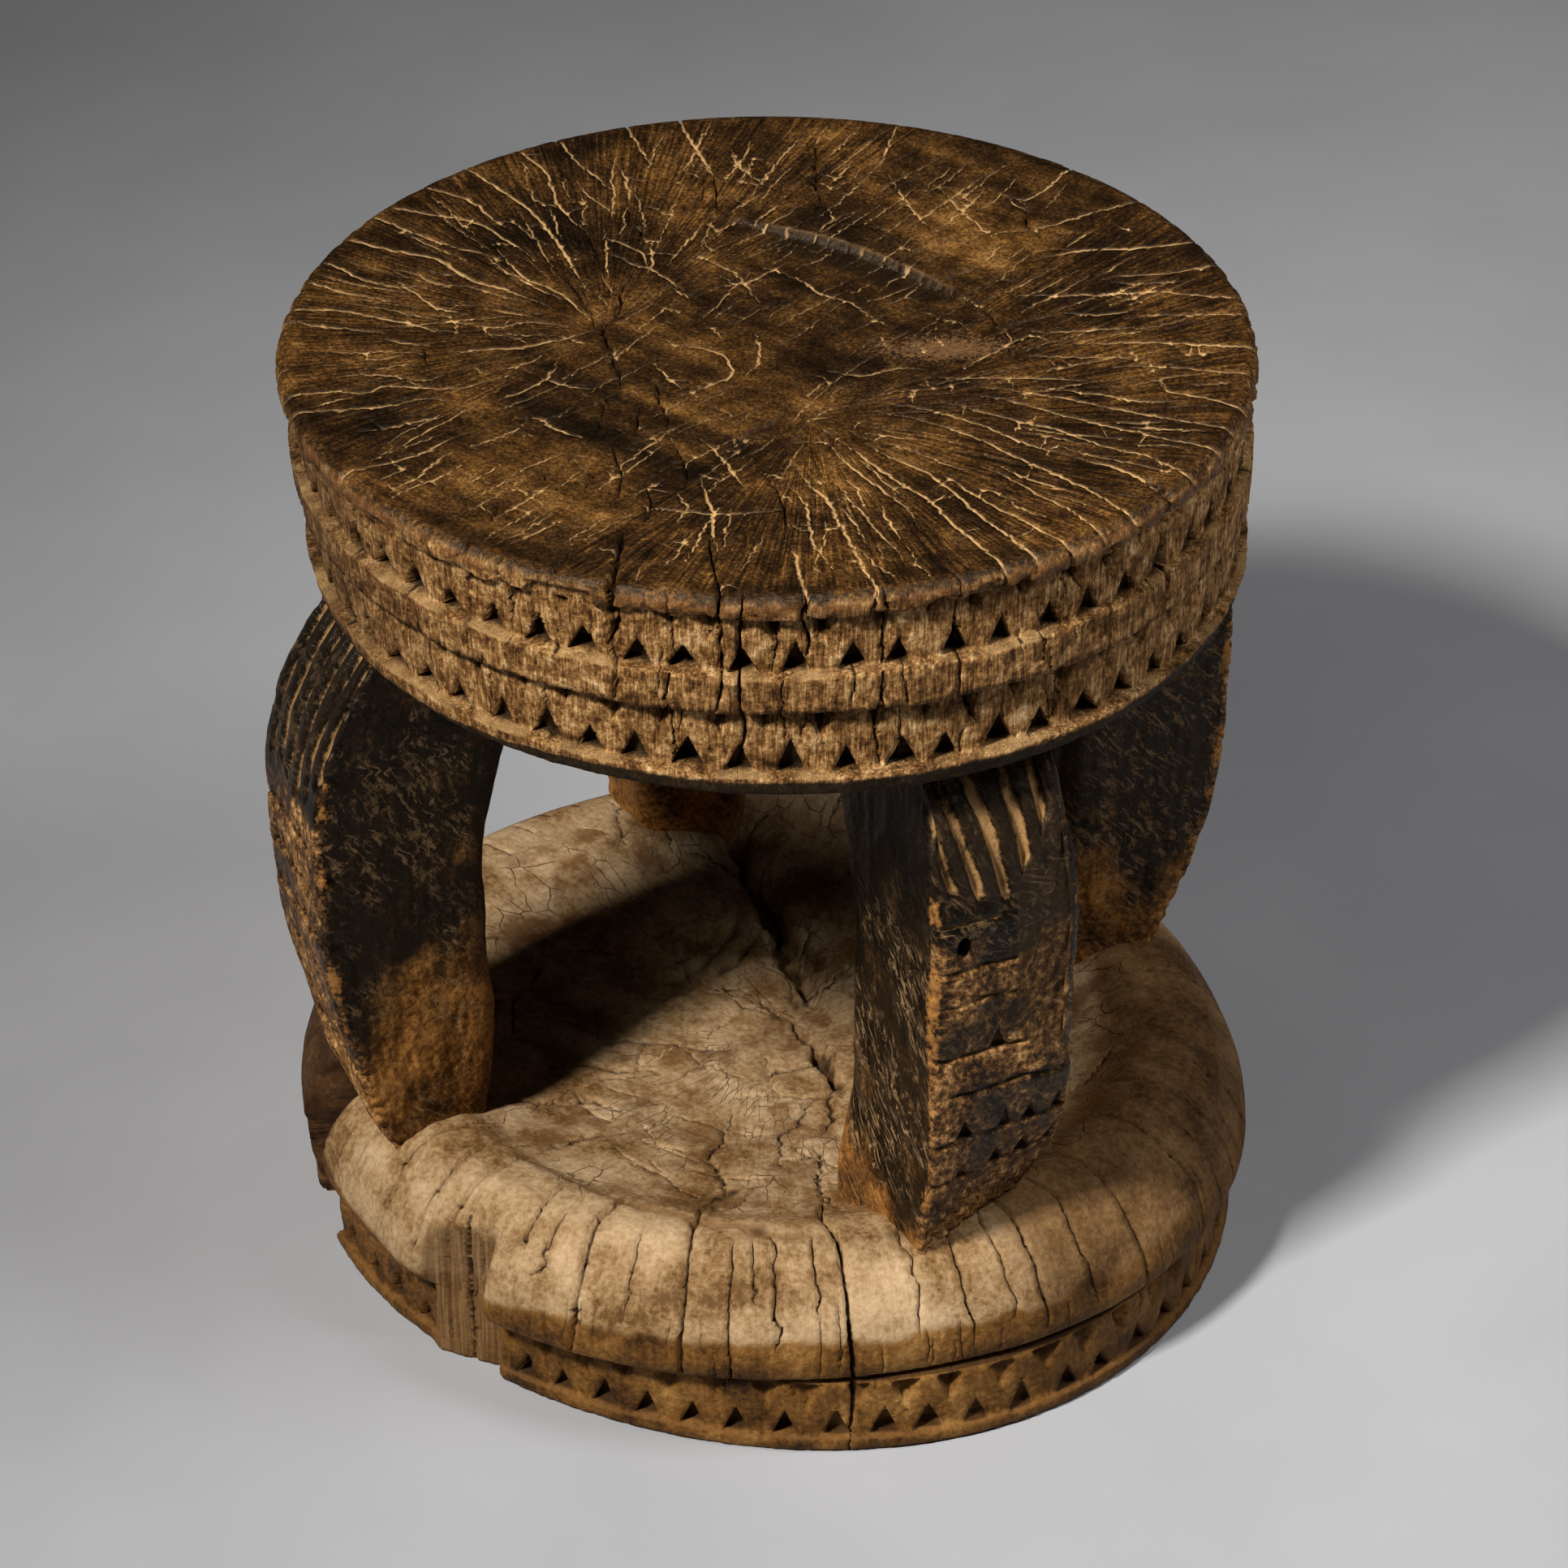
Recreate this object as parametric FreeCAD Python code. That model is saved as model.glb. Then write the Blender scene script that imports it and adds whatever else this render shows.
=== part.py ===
"""A low round stool carved from one log: dished seat, four bowed legs and a dished base.

Millimetres, +Z up. The origin is on the floor under the middle of the stool, and -Y is its front.
Legs are drawn in their own upright radial plane, x outward from the axis and y along the rim, and
then turned to their places.
"""
import FreeCAD, Part
import math
import os

V = FreeCAD.Vector
Z_AXIS = V(0, 0, 1)
ORIGIN = V(0, 0, 0)

# Seat: a disc that tapers slightly downward
SEAT_TOP_Z = 242.0
SEAT_UNDER_Z = 191.0
SEAT_RIM_R = 114.7
SEAT_LOWER_R = 110.4
SEAT_RIM_ROUND = 4.5
SEAT_RIM_STEPS = 2
SEAT_DISH_DEPTH = 5.4
SEAT_UNDER_CHAMFER = 3.0
DISH_RINGS = (1.0, 0.72, 0.42, 0.12)

# Levels on the seat's side, from the lower edge up to the lip
LOWER_BAND_Z = (197.0, 212.5)
UPPER_BAND_Z = (221.0, 236.5)
SEAT_BAND_RECESS = 1.8
SEAT_TEETH = 60

# A crescent step in the seat's top, left by an old cut: part of a circle, deepest at its outer edge
STEP_MIDDLE = (-34.0, -31.0)
STEP_R = 98.5
STEP_ARC = (30.0, 84.0)
STEP_RUNS = 6
STEP_DEPTH = 1.9
STEP_SPREAD = 20.0

# The main drying cracks of the seat's top, each from its outer end inward
CRACK_HALF_WIDTH = 0.9
CRACK_DEPTH = 2.4
SEAT_CRACKS = (
    ((-31.0, 41.0), (-36.0, 20.0), (-38.0, 5.0), (-34.0, -17.0)),
    ((-47.0, -57.0), (-40.0, -40.0), (-37.0, -18.0)),
    ((-11.0, -44.0), (-3.0, -35.0), (5.0, -24.0)),
    ((50.0, 57.0), (40.0, 50.0), (31.0, 42.0)),
    ((67.0, 15.0), (55.0, 9.0), (50.0, 22.0)),
    ((-98.0, 46.0), (-80.0, 41.0), (-63.0, 28.0), (-52.0, 21.0)),
    ((-69.0, 78.0), (-55.0, 61.0), (-46.0, 38.0)),
    ((-21.0, 105.0), (-13.0, 82.0), (-10.0, 66.0)),
    ((88.0, -61.0), (70.0, -52.0), (48.0, -35.0)),
    ((50.0, -92.0), (36.0, -70.0), (18.0, -43.0)),
    ((99.0, 45.0), (78.0, 44.5), (64.0, 41.0)),
)

# Splits that open at an edge and close towards the middle: azimuth, half width at the edge, inner radius, foot
SEAT_SPLITS = ((-107.6, 1.0, 88.0, 212.0), (-38.4, 1.1, 100.0, 214.0), (152.3, 0.9, 103.0, 206.0))

# Base: an uneven round foot block, widest towards the front right. Each outline is a mean radius
# and its swells: how many round the rim, how high, and the azimuth of one crest.
ROLL_MEAN_R = 119.2
ROLL_SWELLS = ((1, 3.0, -66.0), (2, 2.6, -17.0), (3, 1.4, -48.0), (4, 1.4, -26.0))
FOOT_MEAN_R = 116.6
FOOT_SWELLS = ((1, 4.0, -57.0), (2, 3.0, -28.0), (3, 2.2, -53.0))
BASE_TEETH = 64
BASE_TOP_Z = 50.5
BASE_BAND_Z = (4.5, 20.5)
BASE_BAND_RECESS = 1.4
BASE_DISH_R = 97.0
BASE_DISH_DEPTH = 16.0
BASE_DISH_POWER = 2.3
BASE_DISH_SHARES = (1.0, 0.87, 0.74, 0.6, 0.45, 0.3, 0.15)

# Inside the base's dish: two swellings (place, spread, height), the crease between them and an open knot
SWELLINGS = (((-45.0, 56.0), 25.0, 5.0), ((38.0, 60.0), 24.0, 4.0))
CREASE = ((-9.0, 78.0), (-6.0, 67.0), (1.0, 53.0), (2.0, 43.0), (9.0, 28.0), (13.0, 8.0))
CREASE_HALF_WIDTH = 6.0
CREASE_DEPTH = 6.0
KNOT = ((9.0, 4.0), (12.0, -4.0), (15.0, -12.0), (18.0, -22.0), (19.0, -30.0))
KNOT_HALF_WIDTH = 2.6
KNOT_DEPTH = 8.0
BASE_SPLITS = (
    (-113.9, 1.0, 84.0, 21.0), (-100.6, 0.9, 80.0, 20.5), (-80.6, 0.9, 82.0, 0.0), (-57.0, 0.7, 98.0, 27.0),
    (-42.5, 0.7, 98.0, 15.0), (-130.5, 0.7, 90.0, 6.0),
)

# The roll above the tooth band: how far it has drawn in at each height
BASE_ROLL = ((20.5, 1.2), (27.0, 0.0), (34.0, 1.4), (40.0, 4.6), (45.0, 9.4), (48.8, 16.0), (50.5, 24.0))

# The flute and the slot that the log's own hollows leave in the base's rim
FLUTE_AZIMUTH = -130.0
FLUTE_AXIS_R = 119.0
FLUTE_RADIUS = 8.0
SLOT_AZIMUTH = 194.5
SLOT_WIDTH = 21.0
SLOT_FLOOR_R = 102.0

# Tooth carving: pits that open at the foot of a band, and notches that hang from its top
PIT_WIDTH = 5.2
PIT_HEIGHT = 6.4
PIT_DEPTH = 4.2
NOTCH_WIDTH = 4.6
NOTCH_HEIGHT = 6.0
NOTCH_DEPTH = 2.6

# Legs: (height, outer radius, inner radius) down one leg, and its half width, which grows outward
LEG_SECTIONS = (
    (191.0, 103.0, 60.0),
    (178.0, 111.5, 64.5),
    (162.0, 118.6, 69.5),
    (140.0, 121.8, 76.0),
    (115.0, 121.4, 79.2),
    (92.0, 119.0, 78.6),
    (78.0, 115.0, 77.4),
    (62.0, 107.0, 78.0),
    (47.0, 98.5, 80.0),
    (30.0, 91.0, 82.0),
)
LEG_HALF_WIDTH = 17.4
LEG_HALF_WIDTH_AT_R = 100.0
LEG_WIDENING = 0.035
LEG_OUTER_CHAMFER = 2.0
LEG_INNER_CHAMFER = 6.0

# Each leg's azimuth, how far its outer and inner faces stand out from the common section, and how far
# the left edge of its foot runs on outward where it meets the base
LEGS = {
    "leg_left": (203.0, 0.0, 0.0, 0.0),
    "leg_front": (298.0, -4.0, -11.0, 12.0),
    "leg_right": (23.0, -3.0, -4.0, 0.0),
    "leg_back": (105.0, -2.0, -2.0, 0.0),
}
FOOT_SPUR_Z = (85.0, 47.0)

# Leg carving: flutes down the shoulder, then scored lines with a row of small pits above each
FLUTE_COUNT = 5
FLUTE_PITCH = 6.6
FLUTE_WIDTH = 4.4
FLUTE_DEPTH = 1.9
FLUTE_BOTTOM_Z = 141.0
LINE_LEVELS = (136.0, 124.0, 112.0, 100.0, 89.0, 80.0, 71.0)
LINE_DEPTH = 1.1
LINE_HALF_HEIGHT = 0.9
LEG_PIT_LEVELS = (80.0, 71.0)
LEG_PIT_OFFSETS = (-10.0, -3.3, 3.3, 10.0)
LEG_PIT_WIDTH = 4.0
LEG_PIT_HEIGHT = 5.0
LEG_PIT_DEPTH = 2.4

# How far a cutting shape reaches past the surface that it cuts
OVERCUT = 1.25
CLEAR = 12.0

# How far a corner may lie from the plane of the other three in a flat side
FLAT_WITHIN = 1e-6


def polar(radius, azimuth, z):
    """A point at a radius and an azimuth in degrees, measured from +X towards +Y."""
    angle = math.radians(azimuth)
    return V(radius * math.cos(angle), radius * math.sin(angle), z)


def flat_face(corners):
    return Part.Face(Part.makePolygon(corners + [corners[0]]))


def solid_from_faces(faces):
    solid = Part.Solid(Part.Shell(faces))
    if solid.Volume < 0:
        solid.reverse()
    return solid


def side_faces(a, b, c, d):
    """One flat four-cornered side, or two triangles where its corners do not lie in one plane."""
    if abs((b - a).cross(d - a).normalize().dot(c - a)) < FLAT_WITHIN:
        return [flat_face([a, b, c, d])]
    return [flat_face([a, b, c]), flat_face([a, c, d])]


def stacked_solid(rings):
    """A solid with flat sides that join level rings of matching corners."""
    faces = [flat_face(rings[0]), flat_face(rings[-1])]
    for ring, following in zip(rings, rings[1:]):
        for i in range(len(ring)):
            faces += side_faces(ring[i - 1], ring[i], following[i], following[i - 1])
    return solid_from_faces(faces)


def chip(left, right, tip, deep):
    """A chip cut with its three rims on the surface and one deep corner, opened out past the surface."""
    left, right, tip = [deep + (corner - deep) * OVERCUT for corner in (left, right, tip)]
    triangles = ([left, right, tip], [left, right, deep], [right, tip, deep], [tip, left, deep])
    return solid_from_faces([flat_face(triangle) for triangle in triangles])


def furrow(points, left, right, depth):
    """A V cut along a line on a nearly level surface. It starts and ends in a point.

    left and right are how far the cut's two rims lie from its deepest line.
    """
    sections = []
    for before, here, after in zip(points, points[1:], points[2:]):
        side = Z_AXIS.cross(after - before).normalize()
        deep = here - Z_AXIS * depth
        rims = [here + side * left, here - side * right]
        sections.append([deep + (rim - deep) * OVERCUT for rim in rims] + [deep])
    start, end = [tip + Z_AXIS * depth * (OVERCUT - 1) for tip in (points[0], points[-1])]
    faces = []
    for i, j in ((0, 1), (1, 2), (2, 0)):
        faces += [[start, sections[0][i], sections[0][j]], [end, sections[-1][i], sections[-1][j]]]
        for near, far in zip(sections, sections[1:]):
            faces += [[near[i], near[j], far[i]], [near[j], far[j], far[i]]]
    return solid_from_faces([flat_face(face) for face in faces])


def edge_split(azimuth, half_width, inner, foot, outer, top):
    """An upright split, widest at the rim, that narrows to a line at its inner radius."""
    turn = math.degrees(half_width / outer)
    plan = [polar(inner, azimuth, foot), polar(outer, azimuth - turn, foot), polar(outer, azimuth + turn, foot)]
    return flat_face(plan).extrude(Z_AXIS * (top - foot))


def tooth_chips(count, band, radius_at):
    """Chips for one tooth band: pits along its foot and, half a pitch on, notches from its top."""
    low, high = band
    pitch = 360.0 / count
    chips = []
    for i in range(count):
        for turn, z, tip_z, width, depth in (
            (0.0, low, low + PIT_HEIGHT, PIT_WIDTH, PIT_DEPTH),
            (0.5, high, high - NOTCH_HEIGHT, NOTCH_WIDTH, NOTCH_DEPTH),
        ):
            azimuth = (i + turn) * pitch
            radius = radius_at(azimuth, z)
            half = math.degrees(width / 2 / radius)
            chips.append(
                chip(
                    polar(radius, azimuth - half, z),
                    polar(radius, azimuth + half, z),
                    polar(radius_at(azimuth, tip_z), azimuth, tip_z),
                    polar(radius - depth, azimuth, z),
                )
            )
    return chips


def many_sided(count, z, radius_at):
    """A closed outline at one level with one side for each tooth, its corners between the pits."""
    azimuths = [(i + 0.5) * 360.0 / count for i in range(count)]
    return [polar(radius_at(azimuth, z), azimuth, z) for azimuth in azimuths]


def band_solid(count, band, radius_at):
    """A tapering many-sided slab that carries one tooth band."""
    return stacked_solid([many_sided(count, z, radius_at) for z in band])


def round_stack(count, rings):
    """A solid of straight runs through level rings, each given as a radius and a height."""
    return stacked_solid([many_sided(count, z, lambda azimuth, height: radius) for radius, z in rings])


def dish_cutter(count, half_chord, depth, top_z):
    """The space inside a shallow round dish and above it."""
    ball_r = (half_chord ** 2 + depth ** 2) / (2 * depth)
    rings = [(half_chord, top_z + CLEAR)]
    for share in DISH_RINGS:
        radius = half_chord * share
        rings.append((radius, top_z - depth + ball_r - math.sqrt(ball_r ** 2 - radius ** 2)))
    return round_stack(count, rings)


def seat_radius(z):
    """The seat's tapering side, at its plain fillets."""
    share = (z - LOWER_BAND_Z[0]) / (UPPER_BAND_Z[1] - LOWER_BAND_Z[0])
    return SEAT_LOWER_R + (SEAT_RIM_R - SEAT_LOWER_R) * share


def seat_band_radius(azimuth, z):
    return seat_radius(z) - SEAT_BAND_RECESS


def seat_top(x, y):
    """A point of the seat's dished top."""
    share = math.hypot(x, y) / (SEAT_RIM_R - SEAT_RIM_ROUND)
    return V(x, y, SEAT_TOP_Z - SEAT_DISH_DEPTH * (1 - share ** 2))


def seat_top_cuts():
    """The crescent step, the main cracks and the splits over the edge."""
    start, end = STEP_ARC
    ring = []
    for i in range(STEP_RUNS + 1):
        turn = math.radians(start + (end - start) * i / STEP_RUNS)
        ring.append(seat_top(STEP_MIDDLE[0] + STEP_R * math.cos(turn), STEP_MIDDLE[1] + STEP_R * math.sin(turn)))
    cuts = [furrow(ring, STEP_SPREAD, CRACK_HALF_WIDTH, STEP_DEPTH)]
    for crack in SEAT_CRACKS:
        cuts.append(furrow([seat_top(x, y) for x, y in crack], CRACK_HALF_WIDTH, CRACK_HALF_WIDTH, CRACK_DEPTH))
    for split in SEAT_SPLITS:
        cuts.append(edge_split(*split, SEAT_RIM_R + CLEAR, SEAT_TOP_Z + CLEAR))
    return cuts


def make_seat():
    """Plain fillets and tooth bands stacked under a rounded rim and dished top, then the carving and cracks."""
    under = round_stack(SEAT_TEETH, [
        (SEAT_LOWER_R - SEAT_UNDER_CHAMFER, SEAT_UNDER_Z),
        (SEAT_LOWER_R, SEAT_UNDER_Z + SEAT_UNDER_CHAMFER),
        (SEAT_LOWER_R, LOWER_BAND_Z[0]),
    ])
    fillet = round_stack(SEAT_TEETH, [(seat_radius(z), z) for z in (LOWER_BAND_Z[1], UPPER_BAND_Z[0])])
    rim_in = SEAT_RIM_R - SEAT_RIM_ROUND
    rim = [(SEAT_RIM_R, UPPER_BAND_Z[1])]
    for i in range(SEAT_RIM_STEPS + 1):
        turn = math.radians(90.0 * i / SEAT_RIM_STEPS)
        rise = SEAT_RIM_ROUND * math.sin(turn)
        rim.append((rim_in + SEAT_RIM_ROUND * math.cos(turn), SEAT_TOP_Z - SEAT_RIM_ROUND + rise))
    top = round_stack(SEAT_TEETH, rim).cut(dish_cutter(SEAT_TEETH, rim_in, SEAT_DISH_DEPTH, SEAT_TOP_Z))

    bands = (LOWER_BAND_Z, UPPER_BAND_Z)
    slabs = [band_solid(SEAT_TEETH, band, seat_band_radius) for band in bands]
    block = under.fuse([fillet, top] + slabs)
    chips = []
    for band in bands:
        chips += tooth_chips(SEAT_TEETH, band, seat_band_radius)
    return block.cut(Part.makeCompound(chips)).cut(seat_top_cuts())


def uneven_radius(azimuth, mean, swells):
    """A nearly round outline: a mean radius with its swells added."""
    radius = mean
    for count, height, crest in swells:
        radius += height * math.cos(math.radians(count * (azimuth - crest)))
    return radius


def foot_radius(azimuth, z):
    return uneven_radius(azimuth, FOOT_MEAN_R, FOOT_SWELLS)


def base_band_radius(azimuth, z):
    return foot_radius(azimuth, z) - BASE_BAND_RECESS


def roll_outline(z, inset):
    def radius_at(azimuth, z):
        return uneven_radius(azimuth, ROLL_MEAN_R, ROLL_SWELLS) * (1 - inset / ROLL_MEAN_R)
    return many_sided(BASE_TEETH, z, radius_at)


def base_hollow(x, y):
    """A point of the base's dish, whose floor carries the swellings."""
    share = min(math.hypot(x, y) / BASE_DISH_R, 1.0)
    z = BASE_TOP_Z - BASE_DISH_DEPTH * (1 - share ** BASE_DISH_POWER)
    for (place_x, place_y), spread, height in SWELLINGS:
        away = math.hypot(x - place_x, y - place_y) / spread
        z += height * math.exp(-away ** 2) * (1 - share ** 6)
    return V(x, y, z)


def hollow_cutter():
    """The space inside the base's dish and above it, its floor in flat triangles."""
    lid = many_sided(BASE_TEETH, BASE_TOP_Z + CLEAR, lambda azimuth, z: BASE_DISH_R)
    rings = [[base_hollow(corner.x * share, corner.y * share) for corner in lid] for share in BASE_DISH_SHARES]
    faces = [lid] + [[lid[i - 1], lid[i], rings[0][i], rings[0][i - 1]] for i in range(BASE_TEETH)]
    for ring, following in zip(rings, rings[1:]):
        for i in range(BASE_TEETH):
            faces += [[ring[i - 1], ring[i], following[i]], [ring[i - 1], following[i], following[i - 1]]]
    middle = base_hollow(0.0, 0.0)
    faces += [[rings[-1][i - 1], rings[-1][i], middle] for i in range(BASE_TEETH)]
    return solid_from_faces([flat_face(face) for face in faces])


def hollow_cuts():
    """The crease and the open knot in the dish's floor."""
    crease = [base_hollow(x, y) for x, y in CREASE]
    knot = [base_hollow(x, y) for x, y in KNOT]
    return [furrow(crease, CREASE_HALF_WIDTH, CREASE_HALF_WIDTH, CREASE_DEPTH),
            furrow(knot, KNOT_HALF_WIDTH, KNOT_HALF_WIDTH, KNOT_DEPTH)]


def make_base_block():
    """Foot fillet, tooth band and roll, hollowed by a round dish, with the log's flute and slot."""
    foot = band_solid(BASE_TEETH, (0.0, BASE_BAND_Z[0]), foot_radius)
    band = band_solid(BASE_TEETH, BASE_BAND_Z, base_band_radius)
    roll = stacked_solid([roll_outline(z, inset) for z, inset in BASE_ROLL])
    block = foot.fuse([band, roll])

    above = BASE_TOP_Z + CLEAR
    flute = Part.makeCylinder(FLUTE_RADIUS, above, polar(FLUTE_AXIS_R, FLUTE_AZIMUTH, 0))
    slot_end = Part.makeCylinder(SLOT_WIDTH / 2, above)
    slot_run = Part.makeBox(ROLL_MEAN_R, SLOT_WIDTH, above, V(0, -SLOT_WIDTH / 2, 0))
    slot = slot_end.fuse(slot_run)
    slot.translate(V(SLOT_FLOOR_R + SLOT_WIDTH / 2, 0, 0))
    slot.rotate(ORIGIN, Z_AXIS, SLOT_AZIMUTH)
    return block.cut([hollow_cutter(), flute, slot]).cut(hollow_cuts())


def carve_base(block):
    """The tooth band and the splits across the shoulder."""
    carved = block.cut(Part.makeCompound(tooth_chips(BASE_TEETH, BASE_BAND_Z, base_band_radius)))
    outer, top = ROLL_MEAN_R + CLEAR, BASE_TOP_Z + CLEAR
    return carved.cut([edge_split(*split, outer, top) for split in BASE_SPLITS])


def leg_half_width(radius):
    """Half the leg's width at a radius. Its flanks are flat and open outward a little."""
    return LEG_HALF_WIDTH + LEG_WIDENING * (radius - LEG_HALF_WIDTH_AT_R)


def leg_section(z, outer, inner, spur):
    """One level of a leg: a four-sided slab with small chamfers outside and large ones inside."""
    start, full = FOOT_SPUR_Z
    reach = spur * max(0.0, (start - z) / (start - full))
    outer_half = leg_half_width(outer)
    inner_half = leg_half_width(inner)
    corners = (
        (V(outer, outer_half, z), LEG_OUTER_CHAMFER),
        (V(inner, inner_half, z), LEG_INNER_CHAMFER),
        (V(inner, -inner_half, z), LEG_INNER_CHAMFER),
        (V(outer + reach, -outer_half, z), LEG_OUTER_CHAMFER),
    )
    points = []
    for i, (corner, size) in enumerate(corners):
        before = corners[i - 1][0]
        after = corners[(i + 1) % len(corners)][0]
        points.append(corner + (before - corner).normalize() * size)
        points.append(corner + (after - corner).normalize() * size)
    return points


def level(z, column, shift=0.0):
    """A value of the common leg section at height z, between the drawn levels."""
    for upper, lower in zip(LEG_SECTIONS, LEG_SECTIONS[1:]):
        if lower[0] <= z <= upper[0]:
            share = (upper[0] - z) / (upper[0] - lower[0])
            return upper[column] + (lower[column] - upper[column]) * share + shift
    raise ValueError(z)


def leg_carving(outer_shift):
    """Cutting shapes for one leg's outer face, in its own radial plane."""
    cutters = []

    # Flutes follow the shoulder's lean and fade out at their lower end
    heights = [row[0] for row in LEG_SECTIONS if row[0] > FLUTE_BOTTOM_Z]
    floor = [V(level(z, 1, outer_shift) - FLUTE_DEPTH, 0, z) for z in heights]
    floor[0] += (floor[0] - floor[1]) * 0.2
    fade = V(level(FLUTE_BOTTOM_Z, 1, outer_shift) + 0.4, 0, FLUTE_BOTTOM_Z)
    outside = [fade + V(CLEAR, 0, 0), floor[0] + V(2 * CLEAR, 0, 0)]
    outline = flat_face(floor + [fade] + outside)
    for i in range(FLUTE_COUNT):
        middle = (i - (FLUTE_COUNT - 1) / 2) * FLUTE_PITCH
        groove = outline.extrude(V(0, FLUTE_WIDTH, 0))
        groove.translate(V(0, middle - FLUTE_WIDTH / 2, 0))
        cutters.append(groove)

    # Scored lines are V cuts right across the face
    for z in LINE_LEVELS:
        face_r = level(z, 1, outer_shift)
        rise = LINE_HALF_HEIGHT * OVERCUT
        out = face_r + LINE_DEPTH * (OVERCUT - 1)
        cut = [V(face_r - LINE_DEPTH, 0, z), V(out, 0, z + rise), V(out, 0, z - rise)]
        wedge = flat_face(cut).extrude(V(0, 6 * CLEAR, 0))
        wedge.translate(V(0, -3 * CLEAR, 0))
        cutters.append(wedge)

    # Small pits stand on the lower lines
    for z in LEG_PIT_LEVELS:
        foot_r = level(z, 1, outer_shift)
        tip_r = level(z + LEG_PIT_HEIGHT, 1, outer_shift)
        for y in LEG_PIT_OFFSETS:
            half = LEG_PIT_WIDTH / 2
            cutters.append(
                chip(
                    V(foot_r, y - half, z),
                    V(foot_r, y + half, z),
                    V(tip_r, y, z + LEG_PIT_HEIGHT),
                    V(foot_r - LEG_PIT_DEPTH, y, z),
                )
            )
    return cutters


def make_leg(azimuth, outer_shift, inner_shift, spur, base_block):
    """Lofted bowed slab with its carving, cut off where it stands on the base."""
    leg = stacked_solid([leg_section(z, outer + outer_shift, inner + inner_shift, spur)
                         for z, outer, inner in LEG_SECTIONS])
    leg = leg.cut(leg_carving(outer_shift))
    leg.rotate(ORIGIN, Z_AXIS, azimuth)
    return leg.cut(base_block)


def main():
    os.makedirs("parts", exist_ok=True)
    base_block = make_base_block()
    shapes = {"seat": make_seat(), "base": carve_base(base_block)}
    for name, place in LEGS.items():
        shapes[name] = make_leg(*place, base_block)
    for name, shape in shapes.items():
        shape.exportStep("parts/" + name + ".step")
        box = shape.BoundBox
        print(name, "solids", len(shape.Solids), "valid", shape.isValid(), "cm3", round(shape.Volume / 1000, 1),
              "x", round(box.XMin, 1), round(box.XMax, 1), "y", round(box.YMin, 1), round(box.YMax, 1),
              "z", round(box.ZMin, 1), round(box.ZMax, 1))


main()
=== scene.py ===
"""The carved stool dressed for rendering: every CAD node is replaced by a finely carved, cracked and
worn mesh of the same form, with materials made of nodes. Lengths are millimetres until a mesh is made.
"""
import bpy
import math
from collections import namedtuple
import numpy as np
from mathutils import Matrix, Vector, kdtree
from mathutils.geometry import delaunay_2d_cdt


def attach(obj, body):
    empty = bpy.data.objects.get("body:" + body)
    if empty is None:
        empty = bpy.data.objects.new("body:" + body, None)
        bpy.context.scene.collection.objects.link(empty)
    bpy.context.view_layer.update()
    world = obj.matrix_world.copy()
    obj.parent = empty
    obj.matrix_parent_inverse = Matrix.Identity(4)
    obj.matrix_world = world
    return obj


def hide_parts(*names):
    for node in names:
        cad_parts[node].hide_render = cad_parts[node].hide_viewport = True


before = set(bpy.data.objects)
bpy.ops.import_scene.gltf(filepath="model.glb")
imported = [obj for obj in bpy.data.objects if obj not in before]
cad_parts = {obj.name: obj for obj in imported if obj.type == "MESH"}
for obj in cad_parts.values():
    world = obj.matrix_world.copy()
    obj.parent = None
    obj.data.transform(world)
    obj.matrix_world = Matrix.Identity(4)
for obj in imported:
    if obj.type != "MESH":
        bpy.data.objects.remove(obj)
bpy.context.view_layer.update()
MM = 0.001
TURN = 2 * math.pi

# Where the unrolled sides are cut open: an azimuth at the back
SEAM = math.radians(75)


# Noise and small helpers

class Noise:
    """Smooth gradient noise in three dimensions, the same on every run."""

    def __init__(self, seed):
        rng = np.random.default_rng(seed)
        self.table = rng.permutation(256)
        grads = rng.normal(size=(256, 3))
        self.grads = grads / np.linalg.norm(grads, axis=1, keepdims=True)

    def once(self, p):
        cell = np.floor(p).astype(int)
        f = p - cell
        fade = f * f * f * (f * (f * 6 - 15) + 10)
        total = 0.0
        for dx in (0, 1):
            wx = fade[..., 0] if dx else 1 - fade[..., 0]
            hx = self.table[(cell[..., 0] + dx) & 255]
            for dy in (0, 1):
                wy = fade[..., 1] if dy else 1 - fade[..., 1]
                hy = self.table[(hx + cell[..., 1] + dy) & 255]
                for dz in (0, 1):
                    wz = fade[..., 2] if dz else 1 - fade[..., 2]
                    g = self.grads[self.table[(hy + cell[..., 2] + dz) & 255]]
                    away = (f[..., 0] - dx, f[..., 1] - dy, f[..., 2] - dz)
                    dot = g[..., 0] * away[0] + g[..., 1] * away[1] + g[..., 2] * away[2]
                    total = total + wx * wy * wz * dot
        return total

    def __call__(self, x, y, z, octaves=1):
        """Noise of about -1 to 1 at points whose coordinates are already divided by the wavelength."""
        p = np.stack(np.broadcast_arrays(x, y, z), -1).astype(float)
        total = 0.0
        for i in range(octaves):
            total = total + self.once(p * 2 ** i + 17.3 * i) * 0.5 ** i
        return total * 1.6


def smooth(low, high, x):
    """A smooth step from 0 at low to 1 at high, or down again where low is the larger."""
    t = np.clip((x - low) / (high - low), 0, 1)
    return t * t * (3 - 2 * t)


def bump(x, middle, half):
    """A smooth hump, 1 at the middle and 0 beyond half on either side."""
    t = np.clip(1 - np.abs(x - middle) / half, 0, 1)
    return t * t * (3 - 2 * t)


def wrap(angle):
    """An angle as the same one between -pi and pi."""
    return (angle + math.pi) % TURN - math.pi


def hump_at(azimuth, degrees, half):
    """A smooth hump round an azimuth given in degrees."""
    return bump(wrap(azimuth - math.radians(degrees)), 0, half)


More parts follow.
